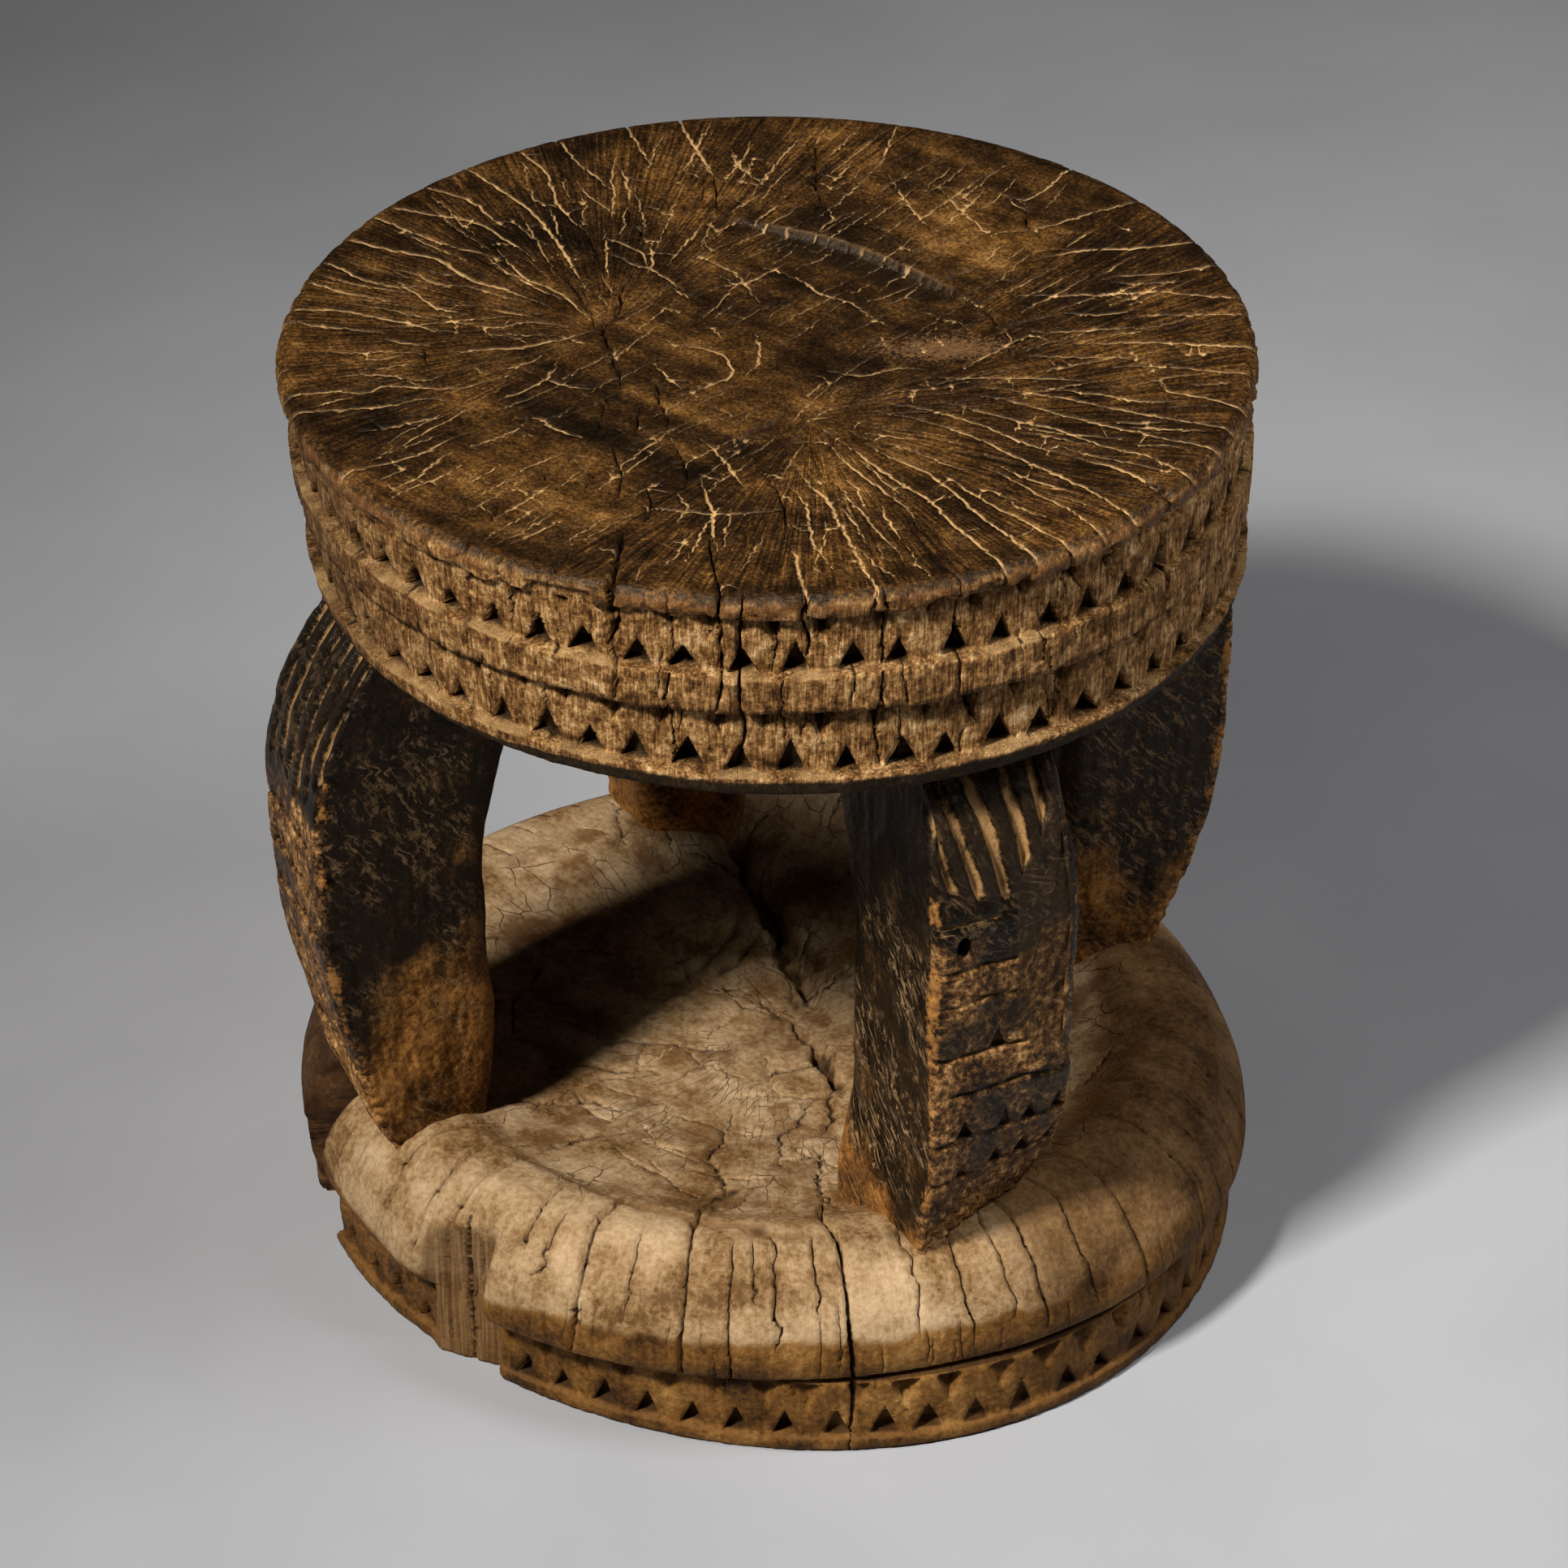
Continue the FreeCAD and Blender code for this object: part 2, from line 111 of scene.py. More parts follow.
def ring_points(azimuth, radius):
    """Points in the plan at azimuths and radii."""
    return np.stack([radius * np.cos(azimuth), radius * np.sin(azimuth)], -1)


def heading_of(angle):
    """A direction in the plan."""
    return np.array([math.cos(angle), math.sin(angle)])


def curve(points, x):
    """A smooth curve through (x, y) points, with level ends and no overshoot."""
    px, py = np.array(sorted(points), float).T
    slope = np.diff(py) / np.diff(px)
    lean = np.zeros(len(px))
    same = slope[:-1] * slope[1:] > 0
    lean[1:-1][same] = 2 * slope[:-1][same] * slope[1:][same] / (slope[:-1] + slope[1:])[same]
    lean[0], lean[-1] = slope[0], slope[-1]
    x = np.clip(x, px[0], px[-1])
    i = np.clip(np.searchsorted(px, x) - 1, 0, len(px) - 2)
    w = px[i + 1] - px[i]
    t = (x - px[i]) / w
    return ((2 * t ** 3 - 3 * t ** 2 + 1) * py[i] + (t ** 3 - 2 * t ** 2 + t) * w * lean[i]
            + (3 * t ** 2 - 2 * t ** 3) * py[i + 1] + (t ** 3 - t ** 2) * w * lean[i + 1])


# Mesh building

def along(points, spacing, jag, rng):
    """A smooth line through points, sampled evenly and set off sideways at random.

    Returns the line with its sideways direction and its share of the way at each sample.
    """
    points = np.array(points, float)
    run = np.concatenate([[0], np.cumsum(np.hypot(*np.diff(points, axis=0).T))])
    share = np.linspace(0, 1, max(int(run[-1] / spacing), 2) + 1)
    line = np.stack([curve(list(zip(run, points[:, k])), share * run[-1]) for k in (0, 1)], -1)
    step = np.gradient(line, axis=0)
    side = np.stack([-step[:, 1], step[:, 0]], -1) / np.hypot(*step.T)[:, None]
    off = rng.normal(0, jag, len(share)) * (share > 0) * (share < 1)
    return line + side * off[:, None], side, share


# The least half width of a crack on the mesh, and the spacing of the points along it
LINE_HALF = 0.16
CRACK_STEP = 1.1


class Crack:
    """A crack on a flat map: a ragged line, narrow at its closed ends, dust-filled or dark."""

    def __init__(self, points, half, depth, dark, rng, open_start=False, jag=0.22, strength=1.0):
        self.line, self.side, self.share = along(points, CRACK_STEP, jag, rng)
        taper = np.ones(len(self.share))
        if not open_start:
            taper = taper * (0.25 + 0.75 * smooth(0.0, 0.3, self.share))
        taper = taper * (0.25 + 0.75 * smooth(1.0, 0.7, self.share))
        self.half = half * taper * rng.uniform(0.7, 1.25, len(taper))
        self.depth = depth
        self.dark = dark
        self.strength = strength

    def seeds(self):
        """Mesh points along the crack's middle and its two edges."""
        reach = self.side * np.maximum(self.half, LINE_HALF)[:, None]
        return np.concatenate([self.line, self.line + reach, self.line - reach])

    def inside(self, points):
        """Which points lie near, and how far inside the crack each is, 0 at its edge and 1 in its middle."""
        low, high = self.line.min(0) - 1.6, self.line.max(0) + 1.6
        near = np.flatnonzero(((points > low) & (points < high)).all(1))
        if not len(near):
            return near, np.zeros(0)
        p = points[near][:, None]
        a, d = self.line[None, :-1], np.diff(self.line, axis=0)[None]
        t = np.clip(((p - a) * d).sum(-1) / (d * d).sum(-1), 0, 1)
        gap = np.linalg.norm(p - a - t[..., None] * d, axis=-1)
        k = gap.argmin(1)
        row = np.arange(len(near))
        half = self.half[k] + (self.half[k + 1] - self.half[k]) * t[row, k]
        inside = np.clip(1 - gap[row, k] / np.maximum(half, LINE_HALF), 0, 1)
        return near, inside * np.clip(half / LINE_HALF, 0, 1)


def crack_fields(cracks, points):
    """Groove depth, dust share and darkness at points of a map."""
    groove, dust, dark = np.zeros((3, len(points)))
    for crack in cracks:
        near, inside = crack.inside(points)
        groove[near] = np.maximum(groove[near], crack.depth * inside)
        field = dark if crack.dark else dust
        field[near] = np.maximum(field[near], crack.strength * np.clip(inside * 1.35, 0, 1))
    return groove, dust, dark


def thinned(points, gap):
    """Points without those that lie closer than gap to an earlier one."""
    cells = {}
    kept = []
    for i, (x, y) in enumerate(points.tolist()):
        cx, cy = math.floor(x / gap), math.floor(y / gap)
        around = [q for dx in (-1, 0, 1) for dy in (-1, 0, 1) for q in cells.get((cx + dx, cy + dy), ())]
        if all((qx - x) ** 2 + (qy - y) ** 2 > gap * gap for qx, qy in around):
            cells.setdefault((cx, cy), []).append((x, y))
            kept.append(i)
    return points[kept]


def scatter(box, spacing, seed):
    """A slightly uneven triangular grid of points over a box."""
    x0, y0, x1, y1 = box
    rows = np.arange(y0, y1, spacing * 0.866)
    lines = [np.stack([np.arange(x0 + (i % 2) * spacing / 2, x1, spacing)] * 2, -1) for i in range(len(rows))]
    for line, y in zip(lines, rows):
        line[:, 1] = y
    points = np.concatenate(lines)
    return points + np.random.default_rng(seed).uniform(-0.16, 0.16, points.shape) * spacing


def clear_of(points, others, gap):
    """Points that lie further than gap from all the others."""
    tree = kdtree.KDTree(len(others))
    for i, (x, y) in enumerate(others.tolist()):
        tree.insert((x, y, 0), i)
    tree.balance()
    return points[[tree.find((x, y, 0))[2] > gap for x, y in points.tolist()]]


def triangulate(border, inner):
    """Triangles over a closed border of points and the points inside it.

    Returns the points, the faces and the border's indices.
    """
    count = len(border)
    every = np.concatenate([border, inner])
    edges = [(i, (i + 1) % count) for i in range(count)]
    found = delaunay_2d_cdt([Vector(p) for p in every.tolist()], edges, [], 1, 1e-7)
    points = np.array([v[:] for v in found[0]])
    faces = np.array([f[:] for f in found[2]])
    place = np.zeros(len(every), int)
    for i, sources in enumerate(found[3]):
        place[sources] = i
    a, b, c = (points[faces[:, k]] for k in range(3))
    turned = (b[:, 0] - a[:, 0]) * (c[:, 1] - a[:, 1]) - (b[:, 1] - a[:, 1]) * (c[:, 0] - a[:, 0]) < 0
    faces[turned] = faces[turned][:, ::-1]
    return points, faces, place[:count]


# Points, faces, masks by name, and grain coordinates of one stretch of surface
Sheet = namedtuple("Sheet", "points faces masks grain")

# How an unrolled side is meshed: point spacing, seed, gap left round its lines, and step down its seam
SideMesh = namedtuple("SideMesh", "spacing seed clear step")


def strip_border(ring, width, height, step):
    """The border of an unrolled side: top edge, right seam, bottom edge and left seam."""
    seam = np.linspace(0, height, int(height / step) + 1)
    top = np.stack([np.append(ring, width), np.zeros(len(ring) + 1)], -1)
    right = np.stack([np.full(len(seam) - 2, width), seam[1:-1]], -1)
    bottom = np.stack([np.append(ring, width)[::-1], np.full(len(ring) + 1, height)], -1)
    left = np.stack([np.zeros(len(seam) - 2), seam[1:-1][::-1]], -1)
    return np.concatenate([top, right, bottom, left])


def strip_parts(ring, height, step):
    """Where a strip's border holds its top ring, bottom ring, right seam and the left seam that it meets."""
    n, m = len(ring), int(height / step) - 1
    top = np.arange(n)
    bottom = (n + 1) + m + (n - np.arange(n))
    right = np.concatenate([[n], n + 1 + np.arange(m), [n + 1 + m]])
    left = np.concatenate([[0], 2 * (n + 1) + 2 * m - 1 - np.arange(m), [bottom[0]]])
    return top, bottom, right, left


def unroll(cracks, lines, ring, width, height, mesh):
    """Triangles over an unrolled side, with points along its cracks and lines. Returns its joins too."""
    def inner(p):
        return p[(p[:, 0] > 0.5) & (p[:, 0] < width - 0.5) & (p[:, 1] > 0.5) & (p[:, 1] < height - 0.5)]

    seeds = thinned(inner(np.concatenate([crack.seeds() for crack in cracks] + lines)), 0.15)
    fill = clear_of(inner(scatter((0, 0, width, height), mesh.spacing, mesh.seed)), seeds, mesh.clear)
    border = strip_border(ring, width, height, mesh.step)
    flat, faces, border_ids = triangulate(border, np.concatenate([seeds, fill]))
    return flat, faces[:, ::-1], [border_ids[k] for k in strip_parts(ring, height, mesh.step)]


class Side:
    """Points of an unrolled side: s round it and t down it."""

    def __init__(self, flat, mean_r):
        self.s, self.t = flat.T
        self.azimuth = SEAM + self.s / mean_r
        self.c = np.cos(self.azimuth)
        self.sn = np.sin(self.azimuth)

    def noise(self, source, around, height, octaves=1):
        """Noise that closes on itself round the side."""
        return source(self.c * around, self.sn * around, height, octaves)


def weld(sheets, links):
    """One mesh from several sheets. A link makes one sheet's vertices those of another."""
    offsets = np.concatenate([[0], np.cumsum([len(sheet.points) for sheet in sheets])])
    alias = np.arange(offsets[-1])
    for a, ids_a, b, ids_b in links:
        alias[offsets[b] + ids_b] = offsets[a] + ids_a
    for i in range(3):
        alias = alias[alias]
    faces = alias[np.concatenate([sheet.faces + offset for sheet, offset in zip(sheets, offsets)])]
    faces = faces[(faces[:, 0] != faces[:, 1]) & (faces[:, 1] != faces[:, 2]) & (faces[:, 2] != faces[:, 0])]
    used = np.unique(faces)
    number = np.zeros(offsets[-1], int)
    number[used] = np.arange(len(used))
    points = np.concatenate([sheet.points for sheet in sheets])[used]
    masks = {key: np.concatenate([sheet.masks[key] for sheet in sheets])[used] for key in sheets[0].masks}
    grain = np.concatenate([sheet.grain for sheet in sheets])[used]
    return points, number[faces], masks, grain


def make_drum(node, plan, side, under, material):
    """A piece from its plan, its unrolled side and its underside, each a sheet with its joins."""
    top, bottom, right, left = side[1]
    links = [(1, left, 1, right), (0, plan[1], 1, top), (2, under[1], 1, bottom)]
    points, faces, masks, grain = weld([plan[0], side[0], under[0]], links)
    make_piece(node, points, np.zeros((0, 4), int), faces, masks, grain, material)


def ring_quads(rows, cols):
    """Faces of a grid of closed rings whose vertices are numbered row by row."""
    row, col = np.meshgrid(np.arange(rows - 1), np.arange(cols), indexing="ij")
    a = row * cols + col
    b = row * cols + (col + 1) % cols
    return np.stack([a, b, b + cols, a + cols], -1).reshape(-1, 4)


def fan(first, count, middle, flip=False):
    """Triangles from a ring to one middle vertex."""
    a = first + np.arange(count)
    b = first + (np.arange(count) + 1) % count
    m = np.full(count, middle)
    return np.stack([b, a, m] if flip else [a, b, m], -1)


def make_piece(node, points, quads, tris, masks, grain, material):
    """A closed mesh with its masks as attributes, standing for one CAD node."""
    mesh = bpy.data.meshes.new(node)
    loops = np.concatenate([quads.ravel(), tris.ravel()]).astype(np.int32)
    starts = np.concatenate([np.arange(len(quads)) * 4, len(quads) * 4 + np.arange(len(tris)) * 3])
    mesh.vertices.add(len(points))
    mesh.vertices.foreach_set("co", (points * MM).astype(np.float32).ravel())
    mesh.loops.add(len(loops))
    mesh.loops.foreach_set("vertex_index", loops)
    mesh.polygons.add(len(starts))
    mesh.polygons.foreach_set("loop_start", starts.astype(np.int32))
    mesh.update(calc_edges=True)
    mesh.polygons.foreach_set("use_smooth", np.ones(len(starts), dtype=bool))
    for key, values in masks.items():
        mesh.attributes.new(key, "FLOAT", "POINT").data.foreach_set("value", values.astype(np.float32))
    vectors = mesh.attributes.new("grain", "FLOAT_VECTOR", "POINT")
    vectors.data.foreach_set("vector", grain.astype(np.float32).ravel())
    mesh.materials.append(material)
    piece = bpy.data.objects.new(node, mesh)
    bpy.context.collection.objects.link(piece)
    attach(piece, "root")
    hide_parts(node)


# Materials

def linear(rgb):
    """A colour written as 0-255 screen values, as the shader's linear colour."""
    c = np.array(rgb) / 255.0
    return tuple(np.where(c <= 0.04045, c / 12.92, ((c + 0.055) / 1.055) ** 2.4)) + (1.0,)


class Shader:
    """A material's node tree, built socket by socket."""

    def __init__(self, name):
        self.material = bpy.data.materials.new(name)
        self.material.use_nodes = True
        self.tree = self.material.node_tree
        self.tree.nodes.clear()

    def node(self, kind, inputs=(), **settings):
        node = self.tree.nodes.new(kind)
        for key, value in settings.items():
            setattr(node, key, value)
        for key, value in dict(inputs).items():
            self.feed(node.inputs[key], value)
        return node

    def feed(self, socket, value):
        if isinstance(value, bpy.types.NodeSocket):
            self.tree.links.new(value, socket)
        else:
            socket.default_value = value

    def mask(self, name):
        """One of the piece's masks."""
        return self.node("ShaderNodeAttribute", attribute_name=name).outputs["Fac"]

    def vector_math(self, operation, *inputs):
        return self.node("ShaderNodeVectorMath", dict(enumerate(inputs)), operation=operation).outputs[0]

    def grain(self, across, along_grain):
        """The wood's own coordinates in millimetres, times a frequency across and along the grain."""
        source = self.node("ShaderNodeAttribute", attribute_name="grain").outputs["Vector"]
        return self.vector_math("MULTIPLY", source, (across, across, along_grain))

    def slanted(self, axis, angle, scale):
        """Grain coordinates turned about an axis, for scratches that run aslant."""
        inputs = {"Vector": self.grain(1, 1), "Axis": axis, "Angle": angle}
        return self.vector_math("MULTIPLY", self.node("ShaderNodeVectorRotate", inputs).outputs[0], scale)

    def place(self, wavelength):
        """Coordinates in the piece, divided by a wavelength in millimetres."""
        source = self.node("ShaderNodeTexCoord").outputs["Object"]
        return self.vector_math("MULTIPLY", source, (1.0 / (wavelength * MM),) * 3)

    def noise(self, vector, detail=3.0, roughness=0.55):
        inputs = {"Vector": vector, "Scale": 1.0, "Detail": detail, "Roughness": roughness}
        return self.node("ShaderNodeTexNoise", inputs).outputs["Fac"]

    def edges(self, vector):
        """Distance from the borders of irregular cells."""
        inputs = {"Vector": vector, "Scale": 1.0}
        return self.node("ShaderNodeTexVoronoi", inputs, feature="DISTANCE_TO_EDGE").outputs["Distance"]

    def bend(self, vector, by, amount):
        """A vector shifted by a noise colour, so that straight lines wander."""
        wander = self.node("ShaderNodeTexNoise", {"Vector": by, "Scale": 1.0, "Detail": 2.0}).outputs["Color"]
        centred = self.vector_math("SUBTRACT", wander, (0.5, 0.5, 0.5))
        return self.vector_math("MULTIPLY_ADD", centred, (amount,) * 3, vector)

    def math(self, operation, a, b=0.0, c=0.0, clamp=False):
        inputs = {0: a, 1: b, 2: c}
        return self.node("ShaderNodeMath", inputs, operation=operation, use_clamp=clamp).outputs[0]

    def times(self, a, b):
        return self.math("MULTIPLY", a, b)

    def weighted(self, *terms):
        """The sum of values, each times its weight."""
        *others, (value, weight) = terms
        total = self.times(value, weight)
        for value, weight in reversed(others):
            total = self.math("MULTIPLY_ADD", value, weight, total)
        return total

    def span(self, value, low, high, to_low=0.0, to_high=1.0):
        """A value's smooth rise from low to high."""
        return self.node("ShaderNodeMapRange", {"Value": value, "From Min": low, "From Max": high,
                                               "To Min": to_low, "To Max": to_high},
                         interpolation_type="SMOOTHSTEP").outputs["Result"]

    def ramp(self, value, stops):
        """A colour that changes with a value, through stops of (value, colour)."""
        node = self.node("ShaderNodeValToRGB", {"Fac": value})
        elements = node.color_ramp.elements
        while len(elements) < len(stops):
            elements.new(0.5)
        for element, (position, rgb) in zip(elements, stops):
            element.position = position
            element.color = linear(rgb)
        return node.outputs["Color"]

    def mix(self, share, a, b):
        node = self.node("ShaderNodeMix", data_type="RGBA")
        self.feed(node.inputs[0], share)
        self.feed(node.inputs[6], linear(a) if isinstance(a, tuple) else a)
        self.feed(node.inputs[7], linear(b) if isinstance(b, tuple) else b)
        return node.outputs[2]

    def over(self, colour, share, amount, paint):
        """A colour with part of a paint laid over it."""
        return self.mix(self.times(share, amount), colour, paint)

    def broken(self, mask, noise, amount=0.7, low=0.35, high=0.65):
        """A mask whose edge is broken up by noise."""
        shifted = self.math("MULTIPLY_ADD", self.math("SUBTRACT", noise, 0.5), amount, mask)
        return self.span(shifted, low, high)

    def finish(self, colour, roughness, height, height_mm, specular, tint=(1.0, 0.82, 0.62, 1.0)):
        inputs = {"Strength": 1.0, "Distance": height_mm * MM, "Height": height}
        bump_node = self.node("ShaderNodeBump", inputs)
        shader = self.node("ShaderNodeBsdfPrincipled", {"Base Color": colour, "Roughness": roughness,
                                                       "Specular IOR Level": specular, "Specular Tint": tint,
                                                       "Normal": bump_node.outputs["Normal"]})
        self.node("ShaderNodeOutputMaterial", {"Surface": shader.outputs["BSDF"]})
        return self.material


# Seat

SEAT_TOP_Z, SEAT_UNDER_Z = 242.0, 191.0
SEAT_RIM_R, SEAT_LOWER_R, RIM_ROUND, FOOT_ROUND = 114.7, 110.4, 3.7, 1.5
RIM_IN = SEAT_RIM_R - RIM_ROUND
RIM_EDGE_Z = SEAT_TOP_Z - 0.25
LOWER_BAND, UPPER_BAND = (197.0, 212.5), (221.0, 236.5)
BAND_RECESS = 2.3
SEAT_TEETH = 60
PITH_A, PITH_B = np.array([-38.0, 11.0]), np.array([10.0, -28.0])
SEAT_R = 112.5
SEAT_AROUND = TURN * SEAT_R
SEAT_LEAN = math.atan2(SEAT_RIM_R - SEAT_LOWER_R, UPPER_BAND[1] - LOWER_BAND[0])
RIM_RUN = RIM_ROUND * (math.pi / 2 + SEAT_LEAN)
SIDE_TOP_Z = RIM_EDGE_Z - RIM_ROUND * (1 + math.sin(SEAT_LEAN))
SIDE_LOW_Z = SEAT_UNDER_Z + FOOT_ROUND * (1 - math.sin(SEAT_LEAN))
SIDE_RUN = (SIDE_TOP_Z - SIDE_LOW_Z) / math.cos(SEAT_LEAN)
SEAT_RUN = RIM_RUN + SIDE_RUN + FOOT_ROUND * (math.pi / 2 - SEAT_LEAN)
SEAT_NOISE = [Noise(21), Noise(22), Noise(23)]
SEAT_MESH = SideMesh(1.25, 2, 0.62, 1.1)
UNDER_SPACING = 5.0

# The dish of the top, the crescent step in it as part of a circle, and the slope of the chamfer below
SEAT_DISH = 5.2
STEP_X, STEP_Y, STEP_R = -34.0, -31.0, 98.5
CHAMFER_SLOPE = 0.25

# How deep cracks of the top are, where those that reach the rim start, and how many others are tried
DUSTY_DEPTH, OPEN_DEPTH = 0.9, 2.4
RIM_REACH = 102
RAY_TRIES, CROSS_TRIES = 2000, 260
SEAT_SHORT_CRACKS = 150

# Cracks of the top that are filled with pale dust, from their outer ends inwards: half width, then points
TOP_DUSTY = [
    (0.62, [(-98, 46), (-90, 43.5), (-80, 41), (-75, 36), (-70, 31), (-63, 28.5), (-58, 25), (-52, 21)]),
    (0.5, [(-90, 63), (-82, 61.5), (-73, 60), (-68, 57), (-64, 51.5), (-60, 48), (-56, 42)]),
    (0.48, [(-80, 71), (-74, 69.5), (-70, 66), (-67, 61), (-62, 56)]),
    (0.58, [(-69, 78), (-63, 72), (-58, 66), (-55, 61), (-52, 54), (-49, 47), (-46, 38), (-43, 30)]),
    (0.5, [(-58, 88), (-54, 82), (-52, 72), (-49, 65), (-46, 60), (-44, 57)]),
    (0.45, [(-49, 93), (-46, 87), (-42, 82), (-38, 76)]),
    (0.4, [(-47, 80), (-44, 74), (-41, 70), (-38, 66)]),
    (0.5, [(-37, 88), (-35, 82), (-34, 75), (-33.5, 70)]), (0.42, [(-33, 100), (-31, 94), (-29, 89)]),
    (0.55, [(-21, 105), (-18, 97), (-15.5, 90), (-13, 82)]),
    (0.42, [(-9, 96), (-7, 88), (-4, 84), (-1, 80)]),
    (0.52, [(-108, 26), (-100, 22.5), (-92, 21), (-88, 20)]),
    (0.5, [(-88, 29), (-83, 24), (-79, 19), (-74, 16.5), (-71, 15.5)]),
    (0.55, [(-110, 13), (-100, 14), (-92, 12), (-85, 10.5), (-78, 8), (-73, 7)]),
    (0.42, [(-68, 8), (-62, 10.5), (-55, 13), (-47, 11.5)]), (0.45, [(-105, 6.5), (-98, 5.5), (-90, 4.5)]),
    (0.45, [(-90, 1.5), (-84, 0.5), (-79, 0)]),
    (0.5, [(-74, -3), (-68, -1), (-60, 0), (-52, 3.5), (-46, 7), (-41, 10)]),
    (0.48, [(-104, 35), (-101, 33), (-96, 29), (-88, 27), (-82, 27)]),
    (0.42, [(-88, 34), (-84, 33), (-79, 29), (-74, 28)]),
    (0.45, [(-88, 54), (-80, 49), (-74, 46), (-69, 44), (-64, 41)]),
    (0.5, [(-65, 46), (-62, 40), (-58, 34), (-54, 31), (-50, 28), (-46, 23), (-42, 15)]),
    (0.45, [(-37, 46), (-33, 43), (-29, 41), (-25, 37), (-20, 31)]),
    (0.4, [(-39, 54), (-34, 51), (-30, 47), (-29, 42)]),
    (0.42, [(-17, 47), (-12, 43), (-7, 37), (-5, 32), (-2, 25)]),
    (0.5, [(-13, 31), (-9, 33), (-5, 34), (0, 39), (5, 45)]),
    (0.45, [(-24, 4), (-18, 4), (-13, 2), (-10, -1), (-8, -8), (-12, -13), (-17, -17), (-21, -20)]),
    (0.4, [(-26, -5), (-23, -11), (-20, -16)]), (0.42, [(-3, 10), (-2, 3), (-2, -3), (-5, -9)]),
    (0.45, [(-62, -24), (-58, -20), (-53, -15), (-50, -10), (-49, -5)]),
    (0.4, [(-52, -13), (-45, -16), (-41, -17)]), (0.42, [(-67, -47), (-62, -42), (-58, -38), (-55, -32)]),
    (0.45, [(-57, -32), (-53, -31), (-49, -35), (-45, -38), (-42, -40)]),
    (0.48, [(-5, -63), (-7, -58), (-9, -52), (-12, -45), (-15, -40)]),
    (0.5, [(-11, -92), (-12, -84), (-12, -76), (-14, -66), (-15, -58)]),
    (0.4, [(-20, -79), (-18, -72), (-20, -66)]),
    (0.4, [(-27, -72), (-20, -74), (-12, -75), (-4, -74), (3, -73)]),
    (0.42, [(-86, -56), (-78, -51), (-72, -44), (-68, -40)]),
    (0.42, [(-98, -32), (-92, -31), (-85, -29), (-78, -25), (-73, -25)]),
    (0.45, [(-104, -26), (-98, -24), (-92, -24), (-88, -20), (-82, -20), (-72, -19), (-65, -15),
            (-60, -12)]), (0.42, [(-100, -18), (-95, -16), (-88, -15), (-80, -16), (-75, -13)]),
    (0.4, [(-92, -42), (-86, -40), (-80, -36), (-74, -33)]),
    (0.55, [(8, -112), (7, -105), (6, -95), (5, -90)]),
    (0.45, [(14, -100), (10, -88), (9, -78), (8, -70), (4, -60)]),
    (0.5, [(23, -108), (20, -98), (18, -88), (15, -76), (13, -68), (9, -60), (6, -52)]),
    (0.42, [(29, -95), (25, -85), (21, -75), (18, -67), (15, -60)]),
    (0.48, [(33, -82), (31, -74), (27, -66), (22, -58), (17, -50), (13, -40)]),
    (0.5, [(50, -99), (45, -89), (40, -80), (36, -70), (31, -62), (25, -54), (18, -43), (14, -37)]),
    (0.5, [(58, -97), (53, -88), (47, -78), (42, -67), (35, -55), (27, -48), (22, -42)]),
    (0.45, [(65, -92), (58, -83), (50, -73), (44, -64), (39, -56)]),
    (0.42, [(72, -86), (66, -76), (60, -68), (54, -60), (48, -54)]),
    (0.48, [(80, -80), (73, -70), (65, -60), (55, -49), (46, -40), (35, -32), (25, -27)]),
    (0.7, [(88, -71), (84, -65), (79, -59), (70, -52)]),
    (0.48, [(70, -52), (60, -45), (48, -35), (38, -28), (28, -24)]),
    (0.45, [(94, -63), (85, -53), (75, -46), (65, -38), (54, -32), (42, -25)]),
    (0.42, [(101, -52), (92, -47), (83, -41), (72, -35), (60, -27), (48, -21)]),
    (0.42, [(100, -41), (90, -36), (80, -31), (70, -25), (58, -20), (48, -17)]),
    (0.5, [(107, -33), (100, -28), (92, -24), (90, -20)]),
    (0.45, [(95, -29), (85, -28), (78, -24), (70, -21), (62, -18)]),
    (0.4, [(110, -18), (100, -15), (90, -12), (80, -11)]),
    (0.55, [(105, -5), (95, -2), (90, -1), (80, 0), (72, 1)]),
    (0.4, [(110, 10), (100, 11), (92, 12), (84, 11)]),
    (0.45, [(110, 18), (102, 20), (95, 22), (90, 23), (82, 23), (70, 24), (60, 25)]),
    (0.58, [(101, 45), (94, 44.5), (85, 44), (78, 44.5), (70, 43), (64, 41)]),
    (0.42, [(104, 33), (92, 31), (85, 31), (80, 30)]),
    (0.42, [(90, 66), (82, 63), (75, 60), (68, 57), (56, 55)]),
    (0.42, [(71, 79), (68, 74), (63, 70), (58, 72)]), (0.4, [(40, 58), (36, 66), (33, 75), (30, 84)]),
    (0.4, [(55, 52), (51, 60), (46, 70), (42, 78)]),
    (0.45, [(4, 39), (9, 34), (13, 28), (20, 24), (25, 17)]),
    (0.42, [(14, -8), (22, -10), (30, -7), (36, -8)]), (0.4, [(30, 98), (28, 90), (25, 84)]),
    (0.4, [(62, 8), (72, 7), (80, 7), (88, 6)]), (0.4, [(60, -3), (70, -5), (78, -6), (88, -9)]),
    (0.4, [(98, 27), (90, 27), (82, 28)]), (0.42, [(88, 15), (78, 14), (70, 16)]),
    (0.42, [(40, -12), (52, -13), (62, -14), (74, -17)]),
]

